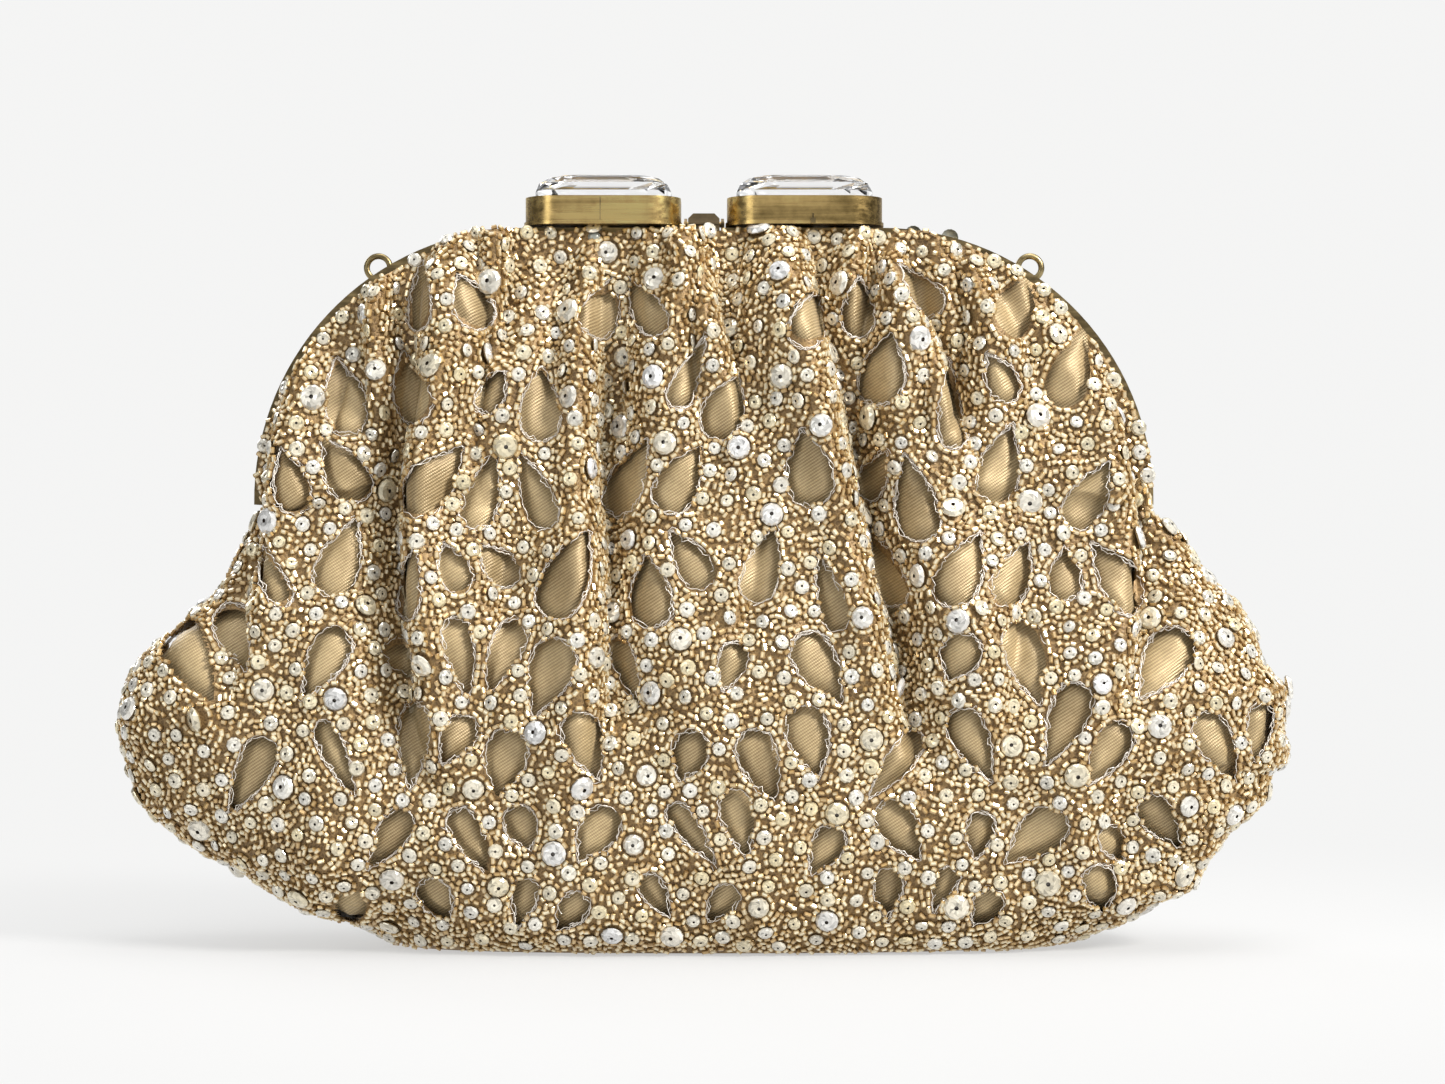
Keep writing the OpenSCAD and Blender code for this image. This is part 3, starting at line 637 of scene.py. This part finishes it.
def build_side(sgn, seed, half, tag):
    S = Side(sgn, seed)
    rng = np.random.default_rng(seed + 100)
    leaves = leaf_layout(seed + 7)
    made = []
    # satin under the net
    rows = rows_for(74, 48, 6)
    P, nrm, x, z, k = S.build(330, rows, -1.7)
    sd = leaf_sdf(x, z, leaves)
    P = P + nrm * (1.0 * smooth(-sd, 0.0, 2.2) * (k > 0))[..., None]
    q = grid_faces(len(rows), 330)
    sat = make_mesh(f"{tag}_satin", P.reshape(-1, 3), q.ravel(), np.full(len(q), 4), [SATIN], smooth_shade=True)
    made.append((sat, "satin"))
    # net with its openings
    nc = 380; rows = rows_for(150, 92, 12)
    P, nrm, x, z, k = S.build(nc, rows, 0.15)
    sd = leaf_sdf(x, z, leaves)
    e = 0.05
    gx = (leaf_sdf(x + e, z, leaves) - leaf_sdf(x - e, z, leaves)) / (2 * e)
    gz = (leaf_sdf(x, z + e, leaves) - leaf_sdf(x, z - e, leaves)) / (2 * e)
    snap = (np.abs(sd) < 0.38) & (k > 0)
    mv = np.where(snap, -sd, 0)
    P = P + np.stack([mv * gx, 0 * mv, mv * gz], -1)
    c = lambda a: (a[:-1, :-1] + a[1:, :-1] + a[:-1, 1:] + a[1:, 1:]) / 4
    keep = c(np.where(snap, 0, sd)) > -0.02
    q = grid_faces(len(rows), nc, keep)
    V, q2, n2 = compact(P.reshape(-1, 3), q, nrm.reshape(-1, 3))
    net = make_mesh(f"{tag}_net", V, q2.ravel(), np.full(len(q2), 4), [NET], smooth_shade=True)
    made.append((net, "net"))
    bvh = BVHTree.FromPolygons([Vector(v) for v in V], [tuple(f) for f in q2.tolist()])
    full = P.reshape(-1, 3); fq = grid_faces(len(rows), nc)
    bvh_full = BVHTree.FromPolygons([Vector(v) for v in full], [tuple(f) for f in fq.tolist()])
    def drop(px, pz):
        hit, n, _, _ = bvh_full.ray_cast(Vector((px, sgn * 60, pz)), Vector((0, -sgn, 0)))
        if hit is None:
            return None
        if n.y * sgn < 0:
            n = -n
        return np.array(hit), np.array(n)
    # random points on the net, spread evenly over its area
    A, B, C, D = (V[q2[:, i]] for i in range(4))
    area = 0.5 * np.linalg.norm(np.cross(C - A, D - B), axis=1)
    area = np.where(V[q2[:, 0]][:, 2] < 0.9, area * 0.0, area)
    def spread(n):
        f = rng.choice(len(q2), n, p=area / area.sum())
        a, b = rng.random(n)[:, None], rng.random(n)[:, None]
        pts = (A[f] * (1 - a) + B[f] * a) * (1 - b) + (D[f] * (1 - a) + C[f] * a) * b
        nn = n2[q2[f]].mean(1); nn /= np.linalg.norm(nn, axis=1, keepdims=True)
        fn = np.cross(B[f] - A[f], D[f] - A[f]); fn /= np.linalg.norm(fn, axis=1, keepdims=True) + 1e-9
        fn *= np.sign((fn * nn).sum(1, keepdims=True) + 1e-9)
        return pts, fn
    # large stones, then small ones
    pts, nn = spread(30000)
    sdp = leaf_sdf(pts[:, 0], pts[:, 2], leaves)
    ok = np.where((sdp > 2.0) & (pts[:, 2] > 4))[0]
    big = ok[poisson(pts[ok], 11.5, [], [], 92)]
    taken = [pts[i] for i in big]; tr = [4.4] * len(big)
    ok = np.where((sdp > 1.15) & (pts[:, 2] > 2.5))[0]
    small = ok[poisson(pts[ok], 4.5, taken, tr, 900)]
    def stones(name, idx, r, n, white):
        tv, tl, ts, lev = stone_template(r, n, 1)
        m = len(idx)
        Nn = nn[idx] + rng.normal(0, 0.16, (m, 3)); Nn /= np.linalg.norm(Nn, axis=1, keepdims=True)
        an = rng.random(m) * 6.28
        T, Bn = frames_for(Nn, np.stack([np.cos(an), np.sin(an)], 1))
        sc = rng.uniform(0.88, 1.12, (m, 1)) * np.ones((1, 3))
        # each facet takes its own random brightness, painted glints of reflected light, which give the cut look
        first = tl[np.concatenate([[0], np.cumsum(ts)[:-1]])]
        fl = np.array([lev[tl[a:a + c]].max() for a, c in zip(np.concatenate([[0], np.cumsum(ts)[:-1]]), ts)])
        f = rng.random((m, len(ts), 1))
        base = white[None, None] * (0.30 + 0.70 * f ** 0.42)
        yel = (rng.random((m, 1, 1)) ** 1.4) * 0.8
        base = base * (1 - yel) + base * np.array([1.0, 0.86, 0.52])[None, None] * yel
        base = base * rng.uniform(0.82, 1.0, (m, 1, 1))
        # the dip in the middle of each stone is painted near black: painted shade in its hole
        base = np.where((fl >= 6)[None, :, None], np.array([0.08, 0.06, 0.045])[None, None], base)
        base = np.where((fl <= 1)[None, :, None], base * np.array([0.5, 0.4, 0.25]), base)
        return scatter(name, (tv, tl, ts), pts[idx], T, Bn, Nn, sc, base, STONE, 700, 0.25, facets=True)
    obs = stones(f"{tag}_stones_large", big, 2.35, 12, np.array([1.0, 1.0, 1.0]))
    obs += stones(f"{tag}_stones_small", small, 1.5, 10, np.array([1.0, 0.97, 0.88]))
    # beads: rings round stones, rows along the openings, then the filling
    bp, bn, bt, bl = [], [], [], []
    for idx, r, per in ((big, 2.9, 11), (small, 2.05, 8)):
        for i in idx:
            if rng.random() < 0.12 and per == 8:
                continue
            a0 = rng.random() * 6.28
            T, Bn = frames_for(nn[i:i + 1], np.array([[1.0, 0.0]]))
            for j in range(per):
                a = a0 + 2 * math.pi * j / per + rng.normal(0, 0.05)
                pos = pts[i] + (T[0] * math.cos(a) + Bn[0] * math.sin(a)) * (r + rng.normal(0, 0.08))
                loc, n_, _, _ = bvh.find_nearest(Vector(pos))
                if loc is None or (Vector(pos) - loc).length > 1.1:
                    continue
                tan = -T[0] * math.sin(a) + Bn[0] * math.cos(a)
                bp.append(np.array(loc)); bn.append(nn[i]); bt.append(tan); bl.append(0.72 if per == 8 else 0.85)
    thread = []
    for (ax, az, bx, bz, w, rr) in leaves:
        L = math.hypot(bx - ax, bz - az); ux, uz = (bx - ax) / L, (bz - az) / L; vx, vz = -uz, ux
        ts = np.linspace(0, 1, 15)
        rad = leaf_rad(ts, w)
        def outline(off, step):
            o = []
            for sg in (1, -1):
                seq = range(len(ts)) if sg > 0 else range(len(ts) - 1, -1, -1)
                for i_ in seq:
                    s_ = ts[i_] * L
                    o.append((ax + ux * s_ + vx * sg * (rad[i_] + off), az + uz * s_ + vz * sg * (rad[i_] + off)))
                if sg > 0:
                    for an in np.linspace(90, -90, 11)[1:-1]:
                        ca, sa = math.cos(math.radians(an)), math.sin(math.radians(an))
                        rw = rad[-1] + off
                        o.append((bx + ux * ca * rw + vx * sa * rw, bz + uz * ca * rw + vz * sa * rw))
            o.append((ax - ux * (rad[0] + off), az - uz * (rad[0] + off)))
            o = np.array(o); o2 = np.vstack([o, o[:1]])
            s_ = np.concatenate([[0], np.cumsum(np.hypot(*np.diff(o2, axis=0).T))])
            m = max(6, int(s_[-1] / step)); t_ = np.arange(m) * s_[-1] / m
            return np.stack([np.interp(t_, s_, o2[:, 0]), np.interp(t_, s_, o2[:, 1])], 1)
        # twisted thread edging: two strands wound round each other
        line = outline(0.05, 0.55)
        pts3 = [drop(*p) for p in line]
        if all(p is not None for p in pts3):
            P0 = np.array([p[0] for p in pts3]); N0 = np.array([p[1] for p in pts3])
            d = np.roll(P0, -1, 0) - np.roll(P0, 1, 0); d /= np.linalg.norm(d, axis=1, keepdims=True) + 1e-9
            b = np.cross(d, N0)
            for ph, amp, off in ((0, 0.2, 0.0), (math.pi, 0.2, 0.0), (1.3, 0.3, 0.3), (2.6, 0.34, -0.25)):
                an = np.arange(len(P0)) * (1.25 if off == 0 else 0.83) + ph
                jit = rng.normal(0, 0.08 if off == 0 else 0.2, (len(P0), 3))
                Q = np.roll(P0 + N0 * (0.26 + 0.8 * amp * np.sin(an))[:, None] + b * (off + amp * np.cos(an))[:, None] + jit, rng.integers(len(P0)), 0)
                # the edging is worn through in places
                thread.append((Q[:max(6, int(len(Q) * rng.uniform(0.35, 0.95)))], False))
        # a row of beads following the outline
        line = outline(0.85, 1.62)
        for a_, p in enumerate(line):
            if rng.random() < 0.12:
                continue
            h = drop(*p)
            if h is None or leaf_sdf(np.array([p[0]]), np.array([p[1]]), leaves)[0] < 0.45:
                continue
            nx = line[(a_ + 1) % len(line)] - line[a_ - 1]
            T, _ = frames_for(h[1][None], nx[None])
            bp.append(h[0]); bn.append(h[1]); bt.append(T[0]); bl.append(0.92)
    bp = np.array(bp); bn = np.array(bn); bt = np.array(bt); bl = np.array(bl)
    # drop the explicit beads that sit on one another or on a stone
    st = [pts[i] for i in big] + [pts[i] for i in small]; sr = [2.35] * len(big) + [1.45] * len(small)
    o = poisson(bp, 0.92, st, sr, 10 ** 6)
    bp, bn, bt, bl = bp[o], bn[o], bt[o], bl[o]
    fp, fn = spread(110000)
    s4 = leaf_sdf(fp[:, 0], fp[:, 2], leaves)
    ok = np.where(s4 > 0.45)[0]
    f = ok[poisson(fp[ok], 1.05, st + list(bp), [2.8] * len(big) + [1.9] * len(small) + [1.02] * len(bp), 10 ** 6)]
    fp, fn = fp[f], fn[f]
    e = 0.3
    gx = leaf_sdf(fp[:, 0] + e, fp[:, 2], leaves) - leaf_sdf(fp[:, 0] - e, fp[:, 2], leaves)
    gz = leaf_sdf(fp[:, 0], fp[:, 2] + e, leaves) - leaf_sdf(fp[:, 0], fp[:, 2] - e, leaves)
    an = np.arctan2(gx, -gz) + rng.normal(0, 0.5, len(fp))
    T, _ = frames_for(fn, np.stack([np.cos(an), np.sin(an)], 1))
    P = np.vstack([bp, fp]); Nn = np.vstack([bn, fn]) + rng.normal(0, 0.14, (len(bp) + len(fp), 3))
    Nn /= np.linalg.norm(Nn, axis=1, keepdims=True)
    T = np.vstack([bt, T]); T = T - Nn * (T * Nn).sum(1, keepdims=True); T /= np.linalg.norm(T, axis=1, keepdims=True) + 1e-9
    ln = np.concatenate([bl, rng.uniform(0.55, 1.0, len(fp))])
    m = len(P)
    tv, tl, ts, bright = bead_template()
    sc = np.stack([ln, rng.uniform(0.86, 1.12, m), rng.uniform(0.86, 1.12, m)], 1)
    g = rng.random((m, 1, 1)) ** 0.8
    g2 = np.clip(g * 1.5, 0, 1)
    # painted highlight and shade: the outward top of each bead is cream to gold, a painted highlight on its silver
    # lining; its sides and ends are gold to brown, the glass darkened as painted shade
    top = BEAD_HIGHLIGHT_CREAM * g2 + GOLD * (1 - g2)
    side = (GOLD * 0.95 * g + BROWN * (1 - g))
    highlight_w = bright[None, :, None]
    col = top * highlight_w + side * (1 - highlight_w)
    obs += scatter(f"{tag}_beads", (tv, tl, ts), P, T, np.cross(Nn, T), Nn, sc, col, BEAD, 2800, 0.36)
    tvv, tll, tss = tube(thread, 0.085, 4)
    tc = np.tile(np.array([[1.0, 0.94, 0.86]]), (len(tvv), 1)) * rng.uniform(0.75, 1.0, (len(tvv), 1))
    obs.append(make_mesh(f"{tag}_edge_thread", tvv, tll, tss, [THREAD], smooth_shade=True, point_col=tc))
    print(tag, "leaves", len(leaves), "stones", len(big), len(small), "beads", m, "thread verts", len(tvv))
    return S, made, obs

def area_of(ob):
    me = ob.data; n = len(me.polygons); a = np.zeros(n, np.float32); me.polygons.foreach_get("area", a)
    return float(a.sum())

for sgn, seed, half, tag in ((-1, 11, "front_half", "front"), (1, 47, "rear_half", "rear")):
    S, made, obs = build_side(sgn, seed, half, tag)
    for ob, kind in made:
        a = area_of(ob)
        # the cut pieces: gathered to the frame along the top, so wider than they look
        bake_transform(ob)
    for ob in obs:
        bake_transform(ob)
    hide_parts(f"{tag}_panel", f"{tag}_fold")
    if sgn < 0:
        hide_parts("pouch_lower")

# ------------------------------------------------------------------ lining
def lining_sheet(sgn, tag):
    nz = Noise(200 + sgn)
    ncol, rows = 120, rows_for(60, 44, 5)
    X, Y = section_columns(ncol)
    k = rows[:, None]; Xg = X[None, :]; Yg = Y[None, :]
    t = np.clip(k, 0, 1); zp = 4.7 + (88 - 4.7) * t ** 1.1
    A = np.minimum(lut(zp, LEFT), lut(zp, RIGHT)) - 7.0 - 0 * Xg
    A = A - 2.2 * smooth(zp, 68, 84)
    D = lut(zp, DEPTH) - 9.5 - 5.0 * smooth(zp, 66, 88)
    E = 3.0 * smooth(zp, 74, 88)
    x = A * Xg; y = E + (D - E) * Yg; z = zp + 0 * Xg
    q = np.clip(-k, 0, 1)
    x = np.where(k < 0, x * (1 - 0.12 * q), x); y = np.where(k < 0, y * (1 - q), y)
    v = np.clip(k - 1, 0, 1)
    half_len = AF + 46.4 * math.radians(85)
    x1, z1 = arch_point(Xg, 46.6)
    A8 = 79.2
    xt = (1 - v) * A8 * Xg + v * x1; zt = (1 - v) * 88 + v * z1
    yt = 3.0 + 2.3 * smooth(v, 0, 0.25) + (0.6 + 2.3 * (1 - smooth(v, 0, 0.25))) * Yg
    up = k > 1
    x = np.where(up, xt, x); y = np.where(up, yt, y); z = np.where(up, zt, z)
    pleat = 0.55 * nz(x / 4.2, z / 40) + 0.5 * nz(x / 9, z / 22 + 4)
    y = np.maximum(y + pleat * smooth(k, 0.1, 0.4) * (1 - 0.55 * smooth(zp, 70, 88)) * (1 - smooth(np.abs(Xg), 0.9, 1)), np.where(k > 1, 2.2, 0))
    deep = Side(sgn, 11 if sgn < 0 else 47).folds(x, z)
    y = np.where(k > 1, y, np.maximum(0.6, y - np.clip(-deep - 6.0, 0, 8) * smooth(k, 0.05, 0.3)))
    P = np.stack([x, sgn * y, z], -1)
    f = grid_faces(len(rows), ncol)
    ob = make_mesh(f"{tag}_lining_cloth", P.reshape(-1, 3), f.ravel(), np.full(len(f), 4), [LINING], smooth_shade=True)
    print(ob.name, "area", area_of(ob))
    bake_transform(ob)
    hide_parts(f"{tag}_lining")
    return ob
lin = [lining_sheet(-1, "front"), lining_sheet(1, "rear")]
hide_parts("pouch_lining")

# ------------------------------------------------------------- large stones
def knob_stone(name, node, body):
    lo, hi = (np.array(p) * 1000 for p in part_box(node))
    cx, cy = (lo[0] + hi[0]) / 2, (lo[1] + hi[1]) / 2
    L, Dp, z0 = 27.0, 18.5, 148.8
    n = 22
    def ring(l, d, c, z, phase):
        """points spaced evenly round a rectangle with rounded corners"""
        pts = []
        for sx, sy, a0 in ((1, -1, -90), (1, 1, 0), (-1, 1, 90), (-1, -1, 180)):
            for i in range(9):
                a = math.radians(a0 + 90 * i / 8)
                pts.append((sx * (l / 2 - c) + c * math.cos(a), sy * (d / 2 - c) + c * math.sin(a)))
        pts = np.array(pts + pts[:1])
        t = np.concatenate([[0], np.cumsum(np.hypot(*np.diff(pts, axis=0).T))])
        u = (np.arange(n) + phase) / n * t[-1]
        return [(cx + np.interp(v, t, pts[:, 0]), cy + np.interp(v, t, pts[:, 1]), z) for v in u]
    spec = [(13, 6, 2.2, -4.0), (20.5, 12, 3.0, -2.9), (26.0, 17.5, 4.0, -0.9), (27, 18.5, 4.6, 0.2), (27, 18.5, 4.6, 1.3),
            (25.6, 17.1, 4.5, 2.9), (22.2, 13.8, 4.0, 4.1), (17.2, 9.0, 2.8, 4.7)]
    V = []
    for i, (l, d, c, z) in enumerate(spec):
        V += ring(l, d, c, z0 + z, 0.0 if i in (3, 4) else 0.5 * (i % 2))
    loops, sizes = [], []
    for i in range(len(spec) - 1):
        for k in range(n):
            a, b, c, d = i * n + k, i * n + (k + 1) % n, (i + 1) * n + (k + 1) % n, (i + 1) * n + k
            if i == 3:
                loops += [a, b, c, d]; sizes.append(4)
            elif i % 2:
                loops += [a, b, d, b, c, d]; sizes += [3, 3]
            else:
                loops += [a, b, c, a, c, d]; sizes += [3, 3]
    loops += list(range(n))[::-1]; sizes.append(n)
    loops += list(range((len(spec) - 1) * n, len(spec) * n)); sizes.append(n)
    ob = make_mesh(name, np.array(V), loops, sizes, [CRYSTAL])
    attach(ob, body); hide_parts(node)
    return ob
knob_stone("left_cut_stone", "left_crystal", "front_half")
knob_stone("right_cut_stone", "right_crystal", "rear_half")

# where the bezel strip is joined, and a small tooth on the other one
def bars(name, boxes, mat, body):
    V, L = [], []
    for x0, x1, y0, y1, z0, z1 in boxes:
        o = len(V)
        V += [(x0, y0, z0), (x1, y0, z0), (x1, y1, z0), (x0, y1, z0), (x0, y0, z1), (x1, y0, z1), (x1, y1, z1), (x0, y1, z1)]
        for f in ((0, 3, 2, 1), (4, 5, 6, 7), (0, 1, 5, 4), (1, 2, 6, 5), (2, 3, 7, 6), (3, 0, 4, 7)):
            L += [o + i for i in f]
    ob = make_mesh(name, np.array(V, float), np.array(L), np.full(len(L) // 4, 4), [mat])
    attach(ob, body)
bars("left_bezel_seam", [(-20.45, -20.25, -11.24, -10.9, 143.95, 148.5)], BRASS_DARK, "front_half")
bars("right_bezel_tooth", [(21.0, 22.0, -11.85, -11.0, 143.3, 144.3), (21.35, 21.65, -11.7, -11.0, 144.2, 145.2)], BRASS_DARK, "rear_half")

# grey dome beads sewn along the rear top edge
GREY = simple_mat("grey_bead", (0.24, 0.25, 0.22), (0.36, 0.37, 0.33), 400, 0.24, 0.2)
def dome_beads(name, spots, r):
    V, L, Sz = [], [], []; off = 0; n = 14
    for cx, cy, cz in spots:
        rings = [(1.0, -0.35), (1.0, 0.25), (0.9, 0.6), (0.66, 0.88), (0.34, 1.0), (0.12, 1.04)]
        for rad, h in rings:
            for k in range(n):
                a = 2 * math.pi * k / n * (1 if cy > 0 else -1)
                V.append((cx + r * rad * math.cos(a), cy + math.copysign(r * h * 0.9, cy), cz + r * rad * math.sin(a)))
        for i in range(len(rings) - 1):
            for k in range(n):
                L += [off + i * n + k, off + (i + 1) * n + k, off + (i + 1) * n + (k + 1) % n, off + i * n + (k + 1) % n]; Sz.append(4)
        L += [off + k for k in range(n)]; Sz.append(n)
        L += [off + (len(rings) - 1) * n + k for k in range(n)][::-1]; Sz.append(n)
        off += len(rings) * n
    ob = make_mesh(name, np.array(V, float), np.array(L), np.array(Sz), [GREY], smooth_shade=True)
    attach(ob, "rear_half" if spots[0][1] > 0 else "front_half")
dome_beads("rear_edge_domes", [(-52.6, 7.3, 139.7), (42.3, 7.3, 142.9), (49.7, 7.3, 142.2)], 1.75)
dome_beads("front_edge_dome", [(-21.6, -8.4, 140.6)], 1.3)

# --------------------------------------------------- carried-over CAD nodes
LOOK = {"front_frame": BRASS_DARK, "rear_frame": BRASS_DARK, "left_bezel": BRASS_BEZEL, "right_bezel": BRASS_BEZEL,
        "left_foil": FOIL, "right_foil": FOIL, "left_stud": BRASS_RIVET, "right_stud": BRASS_RIVET,
        "catch_plate": BRONZE, "latch_bracket": BRONZE, "latch_pin": BRASS_RIVET, "latch_lever": BRONZE,
        "strap_loop_left": BRASS_LOOP, "strap_loop_right": BRASS_LOOP, "hinge_rivet_left": BRASS_RIVET,
        "hinge_rivet_right": BRASS_RIVET, "side_tab_left": BRASS_RIVET, "side_tab_right": BRASS_RIVET,
        "base_board": BOARD, "front_grip_cord": PAPER, "rear_grip_cord": PAPER}
for n, m in LOOK.items():
    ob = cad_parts[n]
    ob.data.materials.clear(); ob.data.materials.append(m)

# ------------------------------------------------------------ stage, camera
def stage_plane(name, pts, mat):
    me = bpy.data.meshes.new(name); me.from_pydata(pts, [], [tuple(range(len(pts)))]); me.update()
    ob = bpy.data.objects.new(name, me); me.materials.append(mat)
    bpy.context.scene.collection.objects.link(ob)
    return ob
WHITE = (0.91, 0.91, 0.905)
white, nt, p = new_mat("studio_white")
p.inputs["Base Color"].default_value = (0.55, 0.55, 0.55, 1); p.inputs["Roughness"].default_value = 0.9
# the floor fades into the pale surround, so no horizon line shows
em = nt.nodes.new("ShaderNodeEmission"); em.inputs[0].default_value = (*WHITE, 1)
ms = nt.nodes.new("ShaderNodeMixShader"); tc = nt.nodes.new("ShaderNodeTexCoord")
ln_ = nt.nodes.new("ShaderNodeVectorMath"); ln_.operation = "LENGTH"
nt.links.new(tc.outputs["Object"], ln_.inputs[0])
mr = nt.nodes.new("ShaderNodeMapRange"); mr.interpolation_type = "SMOOTHSTEP"
mr.inputs["From Min"].default_value = 0.02; mr.inputs["From Max"].default_value = 0.30; mr.inputs["To Min"].default_value = 0.55
nt.links.new(ln_.outputs["Value"], mr.inputs[0]); nt.links.new(mr.outputs[0], ms.inputs[0])
nt.links.new(p.outputs[0], ms.inputs[1]); nt.links.new(em.outputs[0], ms.inputs[2])
nt.links.new(ms.outputs[0], [n for n in nt.nodes if n.type == "OUTPUT_MATERIAL"][0].inputs[0])
stage_plane("floor", [(-3, -3, 0), (3, -3, 0), (3, 3, 0), (-3, 3, 0)], white)

w = bpy.context.scene.world or bpy.data.worlds.new("studio")
bpy.context.scene.world = w; w.use_nodes = True
wt = w.node_tree; wt.nodes.clear()
wo = wt.nodes.new("ShaderNodeOutputWorld"); seen = wt.nodes.new("ShaderNodeBackground"); env = wt.nodes.new("ShaderNodeBackground")
seen.inputs[0].default_value = (*WHITE, 1); seen.inputs[1].default_value = 1.0
lp = wt.nodes.new("ShaderNodeLightPath"); wm = wt.nodes.new("ShaderNodeMixShader")
wc = wt.nodes.new("ShaderNodeTexCoord"); sx = wt.nodes.new("ShaderNodeSeparateXYZ")
wt.links.new(wc.outputs["Generated"], sx.inputs[0])
up_ = ramp(wt, math_node(wt, "ADD", math_node(wt, "MULTIPLY", sx.outputs["Z"], 0.5), 0.5),
           [(0.5, (0.42, 0.42, 0.42)), (0.62, (0.66, 0.67, 0.68)), (0.9, (1, 1, 1))])
flag = wt.nodes.new("ShaderNodeMapRange"); flag.interpolation_type = "SMOOTHSTEP"
flag.inputs["From Min"].default_value = 0.45; flag.inputs["From Max"].default_value = 0.9
flag.inputs["To Min"].default_value = 0.85; flag.inputs["To Max"].default_value = 0.22
wt.links.new(math_node(wt, "ABSOLUTE", sx.outputs["X"]), flag.inputs[0])
wt.links.new(up_, env.inputs[0]); wt.links.new(flag.outputs[0], env.inputs[1])
wt.links.new(lp.outputs["Is Camera Ray"], wm.inputs[0]); wt.links.new(env.outputs[0], wm.inputs[1])
wt.links.new(seen.outputs[0], wm.inputs[2]); wt.links.new(wm.outputs[0], wo.inputs[0])

def area_light(name, loc, target, size, power, color=(1, 1, 1)):
    l = bpy.data.lights.new(name, "AREA"); l.shape = "RECTANGLE"; l.size, l.size_y = size; l.energy = power; l.color = color
    o = bpy.data.objects.new(name, l); o.location = loc
    d = Vector(target) - Vector(loc); o.rotation_euler = d.to_track_quat("-Z", "Y").to_euler()
    bpy.context.scene.collection.objects.link(o)
    return o
area_light("key", (1.05, -0.8, 0.95), (0.02, 0, 0.07), (0.5, 0.4), 34, (1, 0.985, 0.96))
area_light("top", (0.15, -0.1, 1.25), (0, 0, 0.08), (0.8, 0.6), 8)
area_light("fill", (-1.1, -1.2, 0.6), (0, 0, 0.08), (0.6, 0.9), 3.5, (0.98, 1, 0.97))
area_light("back_left", (-1.1, 1.3, 0.9), (0, 0, 0.08), (0.8, 0.8), 8)


bpy.context.scene.view_settings.view_transform = "Standard"
bpy.context.scene.view_settings.look = "None"
cam_d = bpy.data.cameras.new("camera"); cam = bpy.data.objects.new("camera", cam_d)
bpy.context.scene.collection.objects.link(cam); bpy.context.scene.camera = cam
dist = 0.65
cam_d.sensor_width = 36; cam_d.lens = 36 * dist / 0.289
cam.location = (0.0037, -dist, 0.0806); cam.rotation_euler = (math.radians(90), 0, 0)
cam_d.clip_start = 0.01; cam_d.clip_end = 20
